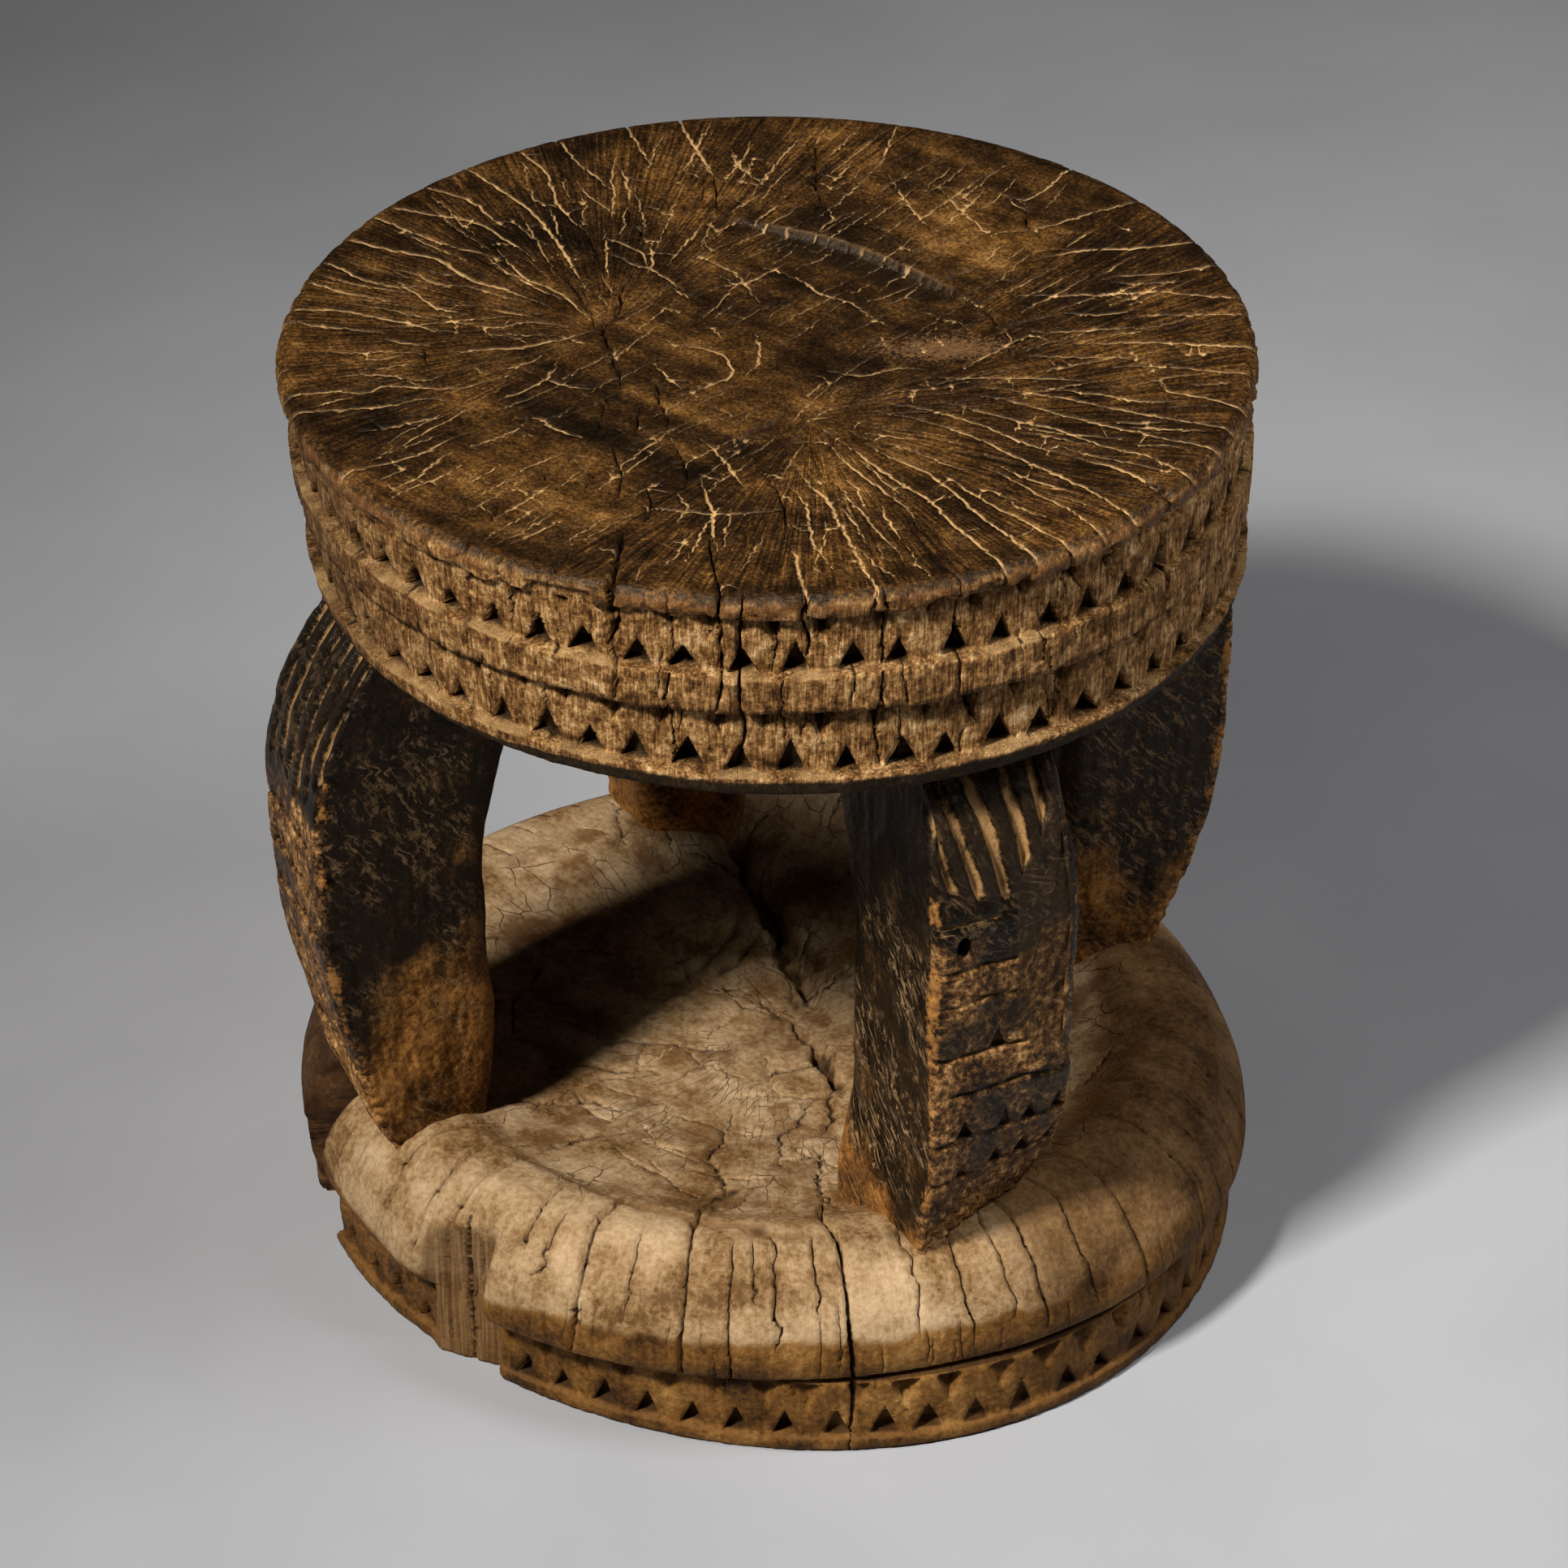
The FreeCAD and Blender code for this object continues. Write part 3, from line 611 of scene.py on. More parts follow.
# Cracks of the top that stand open and dark
TOP_OPEN = [
    (0.75, [(-31, 41), (-33, 36), (-35, 30), (-35, 25), (-36, 18), (-39, 12), (-38, 7), (-37, 3),
            (-36, -4), (-34.5, -10), (-34, -17)]), (0.5, [(-48, 35), (-46, 30), (-43, 22), (-41, 13)]),
    (0.55, [(-44, 57), (-42, 50), (-41, 44)]), (0.5, [(-33.5, 70), (-34, 62), (-31, 58), (-31, 52)]),
    (0.7, [(-13, 82), (-12.5, 76), (-12.5, 71), (-10, 66)]),
    (0.55, [(12, 97), (12, 88), (12, 80), (13, 74), (12, 69)]),
    (0.5, [(-28, -11), (-25, -16), (-25, -20), (-23, -30), (-23, -36)]),
    (0.5, [(-60, -39), (-56, -33), (-52, -26), (-50, -22)]),
    (0.5, [(-47, -57), (-44, -49), (-41, -43), (-39, -37), (-38, -28), (-37, -18)]),
    (0.5, [(-54, -70), (-50, -60), (-48, -54)]), (0.45, [(-41, -67), (-40, -62), (-39, -56)]),
    (0.55, [(-35, -72), (-33, -64), (-33, -56), (-34, -50), (-35, -45)]),
    (0.5, [(-30, -38), (-30, -30), (-29, -22)]), (0.55, [(-27, -79), (-26, -70), (-27, -62)]),
    (0.55, [(-18, -61), (-18.5, -52), (-20, -46), (-22, -40)]),
    (0.65, [(-11, -44), (-7, -40), (-3, -35), (2, -30), (5, -24)]),
    (0.5, [(-45, -99), (-41, -91), (-39, -84)]), (0.45, [(-64, -88), (-61, -80), (-58, -70), (-55, -65)]),
    (0.6, [(3, -88), (4, -80), (3.5, -72), (2, -64), (0, -58)]),
    (0.55, [(63, 68), (63, 60), (65, 55), (66, 52)]),
    (0.75, [(31, 42), (35, 47), (40, 50), (45, 54), (50, 57)]), (0.6, [(41, 32), (45, 36), (50, 39)]),
    (0.6, [(50, 22), (53, 16), (54, 12), (55, 9), (60, 13), (67, 15)]),
    (0.6, [(12, -34), (15, -39), (14, -44)]), (0.4, [(-80, -2), (-79, -8)]),
]

# Splits that run over the seat's edge: azimuth, half width, inner end on the top, lowest height, depth
SEAT_SPLITS = [
    (-107.6, 0.95, (-32, -83), 212.0, 7.0), (-95.3, 0.55, (-13, -82), 211.0, 5.0),
    (-92.8, 0.60, None, 197.0, 6.0), (-85.8, 0.50, None, 224.0, 4.0), (-68.6, 0.45, None, 208.0, 3.5),
    (-38.4, 1.10, (84, -64), 214.0, 5.0), (-135.0, 0.40, None, 204.0, 3.0),
    (-146.0, 0.40, None, 210.0, 3.0), (-55.0, 0.35, None, 226.0, 2.5), (-120.5, 0.45, None, 219.0, 3.0),
    (-101.0, 0.40, None, 196.0, 3.0), (-77.5, 0.45, None, 198.0, 3.5), (152.3, 0.85, None, 206.0, 5.0),
    (134.0, 0.60, None, 224.0, 3.0), (118.0, 0.50, None, 226.0, 3.0), (48.0, 0.60, None, 205.0, 4.0),
    (20.0, 0.45, None, 214.0, 3.0), (-12.0, 0.50, None, 208.0, 3.5), (66.0, 0.45, None, 210.0, 3.0),
    (-172.0, 0.45, None, 216.0, 3.0), (95.0, 0.55, None, 207.0, 3.5),
]


def heart_lines(points):
    """Direction and distance of points from the line between the log's two hearts."""
    d = PITH_B - PITH_A
    t = np.clip(((points - PITH_A) @ d) / (d @ d), 0, 1)
    away = points - PITH_A - t[:, None] * d
    return np.arctan2(away[:, 1], away[:, 0]), np.hypot(*away.T)


def seat_place(azimuth):
    """Distance round the unrolled side at an azimuth."""
    return ((azimuth - SEAM) % TURN) * SEAT_R


def drawn_cracks(rng):
    """The top's large cracks, and where they reach the rim: (azimuth, half width, depth, dark)."""
    cracks, rim = [], []
    for lines, dark, depth in ((TOP_DUSTY, False, DUSTY_DEPTH), (TOP_OPEN, True, OPEN_DEPTH)):
        for half, points in lines:
            points = np.array(points, float)
            reach = np.hypot(*points[0])
            at_rim = reach > RIM_REACH
            if at_rim:
                points[0] = points[0] / reach * RIM_IN
                rim.append((math.atan2(points[0, 1], points[0, 0]), 1.2 * half, OPEN_DEPTH, dark))
            strength = rng.uniform(0.9, 1.0)
            cracks.append(Crack(points, half * 0.95, depth, dark, rng, open_start=at_rim, strength=strength))
    for azimuth, half, inner, low, depth in SEAT_SPLITS:
        if inner:
            edge = RIM_IN * heading_of(math.radians(azimuth))
            points = [edge, (edge + inner) / 2 + rng.normal(0, 0.6, 2), inner]
            cracks.append(Crack(points, half, depth * 0.5, True, rng, open_start=True))
    return cracks, rim


def ray_crack(rng, taken):
    """A fine crack along the rays, or None where it would meet the rim or another crack."""
    azimuth, reach = rng.uniform(0, TURN), RIM_IN * math.sqrt(rng.uniform(0.03, 0.97))
    p = np.array([reach * math.cos(azimuth), reach * math.sin(azimuth)])
    heading = heart_lines(p[None])[0][0] + rng.normal(0, 0.10)
    length = rng.uniform(9, 30)
    ray = heading_of(heading)
    points = [p + ray * length * k + rng.normal(0, 0.35, 2) for k in (-0.5, -0.17, 0.17, 0.5)]
    if max(np.hypot(*q) for q in points) > RIM_IN - 1.5:
        return None
    gap = np.linalg.norm(np.array(points)[:, None] - taken[None], axis=-1).min()
    if gap < 1.2:
        return None
    strength = rng.uniform(0.5, 1.0) * (0.65 + 0.35 * float(smooth(30, 85, reach)))
    return Crack(points, rng.uniform(0.24, 0.4), 0.6, rng.random() < 0.3, rng, strength=strength)


def cross_crack(rng, taken):
    """A short crack that crosses from ray to ray, or None where it would meet the rim."""
    p = taken[rng.integers(len(taken))]
    heading = heart_lines(p[None])[0][0] + math.pi / 2 * rng.choice([-1, 1]) + rng.normal(0, 0.35)
    ray = heading_of(heading)
    length = rng.uniform(2.5, 6.5)
    points = [p, p + ray * length * 0.5 + rng.normal(0, 0.4, 2), p + ray * length]
    if np.hypot(*points[-1]) >= RIM_IN - 1.5:
        return None
    half, dark, strength = rng.uniform(0.17, 0.28), rng.random() < 0.4, rng.uniform(0.5, 1.0)
    return Crack(points, half, 0.5, dark, rng, open_start=True, strength=strength)


def seat_cracks(rng):
    """All cracks of the top on its plan, and where the large ones reach the rim."""
    cracks, rim = drawn_cracks(rng)
    taken = np.concatenate([crack.line for crack in cracks])
    for i in range(RAY_TRIES):
        crack = ray_crack(rng, taken)
        if crack:
            cracks.append(crack)
            taken = np.concatenate([taken, crack.line])
    crossing = [cross_crack(rng, taken) for i in range(CROSS_TRIES)]
    return cracks + [crack for crack in crossing if crack], rim


def seat_step(x, y):
    """Distance from the middle of the crescent step's circle, and degrees round it."""
    return np.hypot(x - STEP_X, y - STEP_Y), np.degrees(np.arctan2(y - STEP_Y, x - STEP_X))


def seat_height(x, y):
    """The dished top: hollow, gently uneven, with the crescent step where an old cut ran."""
    r = np.hypot(x, y)
    n = Noise(11)
    z = RIM_EDGE_Z - SEAT_DISH * np.clip(1 - (r / RIM_IN) ** 2, 0, 1)
    uneven_top = 0.6 * n(x / 34, y / 34, 0.3, 2) + 0.10 * n(x / 3.5, y / 3.5, 0.9, 2)
    z = z + uneven_top * smooth(RIM_IN, 85, r)
    step, around = seat_step(x, y)
    step = step - STEP_R
    ends = smooth(30, 40, around) * smooth(84, 64, around)
    return z - 2.1 * ends * smooth(0.4, -0.9, step) * smooth(-26, -5, step)


def seat_ledge(azimuth, z0, seed, ragged=1.0):
    """A band edge's height round the seat, which wanders a little as hand carving does."""
    n = Noise(seed)
    c, s = np.cos(azimuth), np.sin(azimuth)
    return z0 + 0.45 * n(c * 3.5, s * 3.5, 0.5, 2) + 0.28 * ragged * n(c * 17, s * 17, 1.5, 2)


def make_teeth(count, width, seed, pit, notch):
    """A band's cuts: (middle, half width, height, depth, whether it stands on the band's foot)."""
    rng = np.random.default_rng(seed)
    cuts = []
    for i in range(count):
        for shift, (half, high, depth), rises in ((0.0, pit, True), (0.5, notch, False)):
            middle = (i + shift + rng.uniform(-0.09, 0.09)) * width / count
            half = half * rng.uniform(0.82, 1.2)
            high = high * rng.uniform(0.82, 1.15)
            cuts.append((middle, half, high, depth * rng.uniform(0.55, 1.1), rises))
    return cuts


def tooth_seeds(cuts, foot, top):
    """Points along each cut's rim and just inside it, as (along, height)."""
    points = []
    reach = np.linspace(0, 1, 8)
    for middle, half, high, depth, rises in cuts:
        for shrink in (0.0, 0.55):
            across = (half - shrink) * (1 - reach)
            up = (high - 1.8 * shrink) * reach
            for side in (-1, 1):
                s = middle + side * across
                points.append(np.stack([s, foot(s) + up if rises else top(s) - up], -1))
    return np.concatenate(points)


def tooth_depth(cuts, width, s, z, foot, top):
    """How deep the cuts are at points of a band, and how far inside a pit or a notch each point is."""
    depth, pit, notch = np.zeros((3, len(s)))
    low, high_edge = foot(s), top(s)
    for middle, half, high, deep, rises in cuts:
        across = (s - middle + width / 2) % width - width / 2
        near = np.flatnonzero(np.abs(across) < half * 1.15)
        h = z[near] - low[near] if rises else high_edge[near] - z[near]
        slope = high / math.hypot(high, half)
        room = (half * (1 - h / high) - np.abs(across[near])) * slope
        wall, level, fall, field = (0.5, 0.28, 0.72, pit) if rises else (1.1, 0.5, 0.5, notch)
        within = smooth(0.0, wall, room) * (h > -0.3) * (h < high)
        cut = within * deep * (level + fall * np.clip(1 - h / high, 0, 1))
        depth[near] = np.maximum(depth[near], cut)
        field[near] = np.maximum(field[near], within)
    return depth, pit, notch


def seat_profile(t):
    """Radius, height and outward direction at a distance down from the top of the rim."""
    turn = np.clip(t / RIM_ROUND, 0, math.pi / 2 + SEAT_LEAN)
    r = RIM_IN + RIM_ROUND * np.sin(turn)
    z = RIM_EDGE_Z - RIM_ROUND * (1 - np.cos(turn))
    down = np.clip(t - RIM_RUN, 0, SIDE_RUN)
    r = r - down * math.sin(SEAT_LEAN)
    z = z - down * math.cos(SEAT_LEAN)
    under = np.clip((t - RIM_RUN - SIDE_RUN) / FOOT_ROUND, 0, math.pi / 2 - SEAT_LEAN)
    r = r - FOOT_ROUND * (math.cos(SEAT_LEAN) - np.cos(SEAT_LEAN + under))
    z = z - FOOT_ROUND * (np.sin(SEAT_LEAN + under) - math.sin(SEAT_LEAN))
    lean = turn + under
    return r, z, np.sin(lean), np.cos(lean)


def seat_drop(x):
    """How far the seat's lower edge sinks: the slice of log is thicker on the right."""
    return 3.0 + 0.013 * x


def seat_flare(azimuth, z):
    """How far the side stands out below: it leans in on the left and is upright on the right."""
    down = np.clip((UPPER_BAND[1] - z) / (UPPER_BAND[1] - LOWER_BAND[0]), 0, 1)
    return 2.2 * (1 + np.cos(azimuth + 0.17)) * down


def seat_chamfer(azimuth, z):
    """How far the lower edge is cut back: least on the left."""
    start = 196.0 - 2.6 * hump_at(azimuth, -140, 0.6)
    return np.clip(start - z, 0, None)


def seat_run(z):
    """Distance down the side at a height."""
    return RIM_RUN + (SIDE_TOP_Z - z) / math.cos(SEAT_LEAN)


def ring_of(width, step, marks):
    """Positions along a closed ring: even ones, with three at each mark (position, half width)."""
    even = np.arange(0, width - step / 2, step)
    close = np.concatenate([[(m - h) % width, m % width, (m + h) % width] for m, h in marks])
    close = np.sort(close[(close > 0.4) & (close < width - 0.4)])
    close = close[np.concatenate([[True], np.diff(close) > 0.2])]
    gap = np.abs(even[:, None] - close[None]).min(1)
    return np.sort(np.concatenate([even[(gap > 0.5) | (even == 0)], close]))


def seat_top(cracks, ring):
    """The dished top as a sheet, with the ids of its rim."""
    arc = np.radians(np.linspace(30, 84, 95))
    ledge = [ring_points(arc, reach) + (STEP_X, STEP_Y) for reach in (97.2, 98.1, 99.0)]
    seeds = np.concatenate([crack.seeds() for crack in cracks] + ledge)
    seeds = thinned(seeds[np.hypot(*seeds.T) < RIM_IN - 0.6], 0.13)
    fill = scatter((-RIM_IN, -RIM_IN, RIM_IN, RIM_IN), 1.2, 1)
    fill = clear_of(fill[np.hypot(*fill.T) < RIM_IN - 0.6], seeds, 0.62)
    rim = ring_points(SEAM + ring / SEAT_R, 1.0) * RIM_IN
    flat, faces, rim_ids = triangulate(rim, np.concatenate([seeds, fill]))
    groove, dust, dark = crack_fields(cracks, flat)
    x, y = flat.T
    points = np.stack([x, y, seat_height(x, y) - groove], -1)
    heading, away = heart_lines(flat)
    grain = np.stack([110 * np.cos(heading), 110 * np.sin(heading), away], -1)
    return Sheet(points, faces, seat_top_masks(x, y, dust, dark), grain), rim_ids


def seat_top_masks(x, y, dust, dark):
    """Where the top is dusty, dark, rubbed or scuffed, with painted shade on the glossy facet cut below the
    step and a faint painted highlight along the step's edge.
    """
    n2 = SEAT_NOISE[1]
    step, around = seat_step(x, y)
    # Painted shade: the facet below the crescent step and the step's own face are darkened
    facet = smooth(98.6, 97.6, step) * smooth(84, 96, step) * smooth(33, 42, around) * smooth(76, 62, around)

    def on_step(field):
        return field * smooth(33, 42, around) * smooth(78, 66, around)

    scuff = np.exp(-(((x - 42) / 24) ** 2 + ((y - 2) / 9) ** 2))
    scuff = scuff + 0.6 * np.exp(-(((x + 4) / 12) ** 2 + ((y - 34) / 7) ** 2))
    rim = 0.55 * smooth(RIM_IN - 3, RIM_IN, np.hypot(x, y))
    zero = np.zeros(len(x))
    # Besides the cracks' dust, a faint painted highlight in the dust colour runs along the step's edge
    return {"dust": np.maximum(dust, 0.2 * on_step(bump(step, 98.9, 0.7))), "dark": dark,
            "wear": rim * (0.5 + n2(x / 9, y / 9, 3.1, 2)), "side": zero, "scuff": np.clip(scuff, 0, 1),
            "stain_and_shade": np.maximum(facet, on_step(bump(step, 98.3, 1.1))), "pale": zero, "shade": zero}


def seat_bands():
    """For each tooth band: its cuts, its foot and top round the seat, and how gently its top slopes in."""
    def edge(z0, seed, ragged=1.0):
        return lambda s: seat_ledge(SEAM + s / SEAT_R, z0, seed, ragged)

    upper = make_teeth(SEAT_TEETH, SEAT_AROUND, 31, (3.8, 7.4, 4.4), (3.2, 9.5, 4.0))
    lower = make_teeth(SEAT_TEETH, SEAT_AROUND, 32, (3.9, 7.4, 4.4), (3.3, 9.5, 4.0))
    return [(upper, edge(UPPER_BAND[0], 71), edge(UPPER_BAND[1], 72, 4.0), 2.6),
            (lower, edge(LOWER_BAND[0], 73), edge(LOWER_BAND[1], 74), 0.28)]


def seat_side_cracks(rng, rim_cracks):
    """Cracks of the unrolled side: ends of the top's cracks, splits over the edge, and short ones."""
    cracks = []
    for azimuth, half, depth, dark in rim_cracks:
        s, end = seat_place(azimuth), rng.uniform(4.0, 9.0)
        points = [(s, 0), (s + rng.normal(0, 0.3), end / 2), (s + rng.normal(0, 0.6), end)]
        cracks.append(Crack(points, half, depth, dark, rng, open_start=True))
    for azimuth, half, inner, low, depth in SEAT_SPLITS:
        s, end = seat_place(math.radians(azimuth)), float(seat_run(low))
        middle = [(s + rng.normal(0, 0.7), end * k) for k in (0.2, 0.4, 0.6, 0.8)]
        points = [(s, 0)] + middle + [(s + rng.normal(0, 0.8), end)]
        cracks.append(Crack(points, half, depth, True, rng, open_start=inner is not None))
    for i in range(SEAT_SHORT_CRACKS):
        s, z0 = rng.uniform(3, SEAT_AROUND - 3), rng.uniform(203, 238)
        length = min(rng.uniform(4, 17), z0 - 195)
        t = float(seat_run(z0))
        points = [(s, t), (s + rng.normal(0, 0.5), t + length / 2), (s + rng.normal(0, 0.8), t + length)]
        cracks.append(Crack(points, rng.uniform(0.2, 0.36), 1.4, True, rng))
    return cracks


def seat_lines(bands):
    """Points along the bands' edges and along the rims of their cuts, on the unrolled side."""
    lines = []
    run = np.arange(0.6, SEAT_AROUND - 0.6, 0.95)
    for cuts, foot, top, slope in bands:
        for edge, offsets in ((foot, (-0.05, 0.35)), (top, (-0.3, 0.1))):
            lines += [np.stack([run, seat_run(edge(run) + off)], -1) for off in offsets]
    for cuts, foot, top, slope in bands:
        points = tooth_seeds(cuts, foot, top)
        lines.append(np.stack([points[:, 0], seat_run(points[:, 1])], -1))
    return lines


def band_fields(at, z, bands, crisp):
    """Depth of the tooth bands, and their pits, notches, reach, dusty ledges and shaded upper edges."""
    depth, pit, notch, in_band, ledge_dust, under_lip = np.zeros((6, len(z)))
    for cuts, foot, top, slope in bands:
        low, high = foot(at.s), top(at.s)
        band = smooth(-0.02, 0.33, z - low) * smooth(0.08, -slope, z - high)
        cut, is_pit, is_notch = tooth_depth(cuts, SEAT_AROUND, at.s, z, foot, top)
        depth = depth + band * (BAND_RECESS * (0.6 + 0.4 * crisp) + cut * crisp)
        pit = pit + band * is_pit
        notch = notch + band * is_notch
        in_band = in_band + band
        ledge_dust = ledge_dust + bump(z - low, 0.1, 0.55)
        under_lip = under_lip + bump(z - high, -0.5, 1.0)
    return depth, pit, notch, in_band, ledge_dust, under_lip


def seat_side_depth(at, z, depth, groove, worn, chip):
    """Depth of bands and cracks together with the side's roughness, chipped lip and broken stretch of lip."""
    n1, n2, n3 = SEAT_NOISE
    rough = at.noise(n2, 20, z / 7, 3)
    on_side = smooth(RIM_RUN - 3, RIM_RUN + 1, at.t)
    fibres = 0.16 * at.noise(n1, 90, z / 12, 2)
    depth = depth + on_side * (0.22 * rough * (0.5 + worn) + 0.7 * chip + fibres + 0.2)
    lip_chip = smooth(0.05, 0.5, at.noise(n1, 17, z / 3.5, 3))
    lip_chip = lip_chip + 0.5 * smooth(0.1, 0.4, at.noise(n3, 42, z / 9, 2))
    depth = depth + 0.85 * lip_chip * smooth(1.2, 4.0, at.t) * smooth(234.0, 237.0, z)
    depth = depth + groove
    degree = np.degrees(wrap(at.azimuth))
    gone = smooth(-117.7, -117.1, degree) * smooth(-109.4, -110.0, degree)
    gone = gone * smooth(226.5, 229.0, z) * smooth(3.5, 6.0, at.t)
    depth = np.maximum(depth, gone * (2.6 + 0.5 * rough))
    return np.maximum(depth, 0) * smooth(0.0, 2.5, at.t) + groove * smooth(2.5, 0.0, at.t)


def seat_side(rng, rim_cracks, ring):
    """The rim and side as a sheet, with its joins."""
    n2, n3 = SEAT_NOISE[1:]
    bands = seat_bands()
    cracks = seat_side_cracks(rng, rim_cracks)
    flat, faces, joins = unroll(cracks, seat_lines(bands), ring, SEAT_AROUND, SEAT_RUN, SEAT_MESH)
    at = Side(flat, SEAT_R)
    radius, z, out_r, out_z = seat_profile(at.t)
    worn = 0.55 * hump_at(at.azimuth, -15, 0.9) + 0.25 * hump_at(at.azimuth, 120, 1.2)
    worn = np.clip(worn + 0.35 * at.noise(n2, 4, z / 30), 0, 0.5)
    crisp = 1 - worn
    depth, pit, notch, in_band, ledge_dust, under_lip = band_fields(at, z, bands, crisp)
    chip = smooth(0.25, 0.75, at.noise(n3, 26, z / 5, 2)) * (0.4 + worn)
    groove, crack_dust, crack_dark = crack_fields(cracks, flat)
    depth = seat_side_depth(at, z, depth, groove, worn, chip)
    rim_low = 0.5 * (0.5 + at.noise(n3, 6, 0.2, 3)) * smooth(1.0, RIM_RUN, at.t)
    chamfer = seat_chamfer(at.azimuth, z)
    radius = radius - (depth + rim_low) * out_r - CHAMFER_SLOPE * chamfer + seat_flare(at.azimuth, z)
    sunk = z - depth * out_z - seat_drop(SEAT_R * at.c) * np.clip((224.0 - z) / 27.0, 0, 1)
    points = np.stack([radius * at.c, radius * at.sn, sunk], -1)

    fillet = bump(z, 220.3, 1.0) + bump(z, 213.2, 0.8) + 0.7 * bump(z, 196.2, 0.8)
    lip = smooth(RIM_RUN - 4.5, RIM_RUN - 1, at.t) * smooth(235.8, 237.0, z)
    patchy = np.clip(0.5 + 1.2 * at.noise(n2, 12, 0.7, 2), 0, 1)
    # Painted shade: the dark mask darkens the pits, the notches and the strip under each band's upper edge,
    # besides the dark cracks and the chamfer below
    dark = pit * 0.75 + 0.6 * notch + crack_dark + 0.5 * under_lip * in_band + smooth(0.0, 1.2, chamfer)
    masks = {
        "shade": hump_at(at.azimuth, -165, 0.75),
        "dust": np.clip(0.6 * ledge_dust * (1 - 0.5 * pit) * patchy + crack_dust, 0, 1),
        "dark": np.clip(dark, 0, 1),
        "wear": np.clip(lip * (0.75 + 1.0 * at.noise(n3, 14, 5.0, 2)) + 0.35 * fillet * crisp, 0, 1),
        "side": smooth(RIM_RUN - 4.0, RIM_RUN - 0.5, at.t + 0.8 * at.noise(n2, 22, 2.2, 2)),
        "scuff": 0 * z, "stain_and_shade": 0 * z, "pale": np.clip(in_band * (1 - pit) * 0.5 + 0.5 * chip, 0, 1)}
    return Sheet(points, faces, masks, points - np.array([0, 0, SEAT_TOP_Z])), joins


def seat_under(ring, names):
    """The underside as a sheet, with the ids of its edge."""
    azimuth = SEAM + ring / SEAT_R
    low_r = float(seat_profile(np.array(SEAT_RUN))[0]) + seat_flare(azimuth, SEAT_UNDER_Z)
    low_r = low_r - CHAMFER_SLOPE * seat_chamfer(azimuth, SEAT_UNDER_Z)
    reach = low_r.min()
    fill = scatter((-reach, -reach, reach, reach), UNDER_SPACING, 3)
    edge = ring_points(azimuth, 1.0) * low_r[:, None]
    flat, faces, edge_ids = triangulate(edge, fill[np.hypot(*fill.T) < reach - 3])
    x, y = flat.T
    zero = np.zeros(len(flat))
    # Painted shade: the whole underside is darkened
    masks = {name: zero for name in names} | {"dark": zero + 0.8, "side": zero + 1}
    points = np.stack([x, y, SEAT_UNDER_Z - seat_drop(x)], -1)
    return Sheet(points, faces[:, ::-1], masks, np.stack([x, y, zero], -1)), edge_ids


def make_seat(material):
    rng = np.random.default_rng(5)
    cracks, rim_cracks = seat_cracks(rng)
    marks = [(seat_place(azimuth), half) for azimuth, half, depth, dark in rim_cracks]
    marks += [(seat_place(math.radians(split[0])), split[1]) for split in SEAT_SPLITS]
    ring = ring_of(SEAT_AROUND, 1.02, marks)
    top = seat_top(cracks, ring)
    side = seat_side(rng, rim_cracks, ring)
    make_drum("seat", top, side, seat_under(ring, top[0].masks), material)


# Base

ROLL_MEAN_R = 119.2
ROLL_SWELLS = ((1, 3.0, -66.0), (2, 2.6, -17.0), (3, 1.4, -48.0), (4, 1.4, -26.0))
FOOT_MEAN_R = 116.6
FOOT_SWELLS = ((1, 4.0, -57.0), (2, 3.0, -28.0), (3, 2.2, -53.0))
BASE_BAND = (4.5, 20.5)
BASE_TEETH = 64
BASE_R = 118.0
BASE_AROUND = TURN * BASE_R
BASE_BOX = (-122, -122, 122, 122)
BASE_NOISE = [Noise(51), Noise(52), Noise(53)]
BASE_MESH = SideMesh(1.28, 5, 0.65, 1.2)
GRAIN_START = 400
RING_INSET = 10.0
FLUTE_AZIMUTH, FLUTE_FLOOR_R = -131.5, 111.8
SLOT_AZIMUTH, SLOT_HALF, SLOT_FLOOR_R = 194.5, 10.2, 102.8

# Cracks that run over the shoulder are widened by this; then how many fine and short cracks are made
CRACK_WIDEN = 1.35
HOLLOW_FINE_CRACKS, BASE_SHORT_CRACKS = 120, 120

# The shoulder, from the lip of the hollow out to the rim of the plan: (inset from the roll, height)
SHOULDER = ((24, 49.9), (20, 50.1), (16, 49.2), (12.5, 47.3), (10, 45.4))

# The roll, then the foot: (inset, height) down from the plan's rim. The foot's insets are from its own edge
ROLL = ((10, 45.4), (8, 43.8), (6.5, 42.2), (4.4, 39.6), (2.6, 36.6), (1.3, 33.4), (0.4, 30), (0, 27),
        (0.1, 25.8), (0.3, 24.6), (0.7, 23.5), (1.3, 22.7), (2.2, 22.1), (3.4, 21.7))
FOOT = ((2.7, 21.1), (1.6, 20.5), (1.3, 20.0), (1.3, 5.0), (1.2, 4.7), (0.3, 4.3), (0, 3.8), (0, 1.6),
        (0.3, 0.7), (1.1, 0.15), (2, 0))

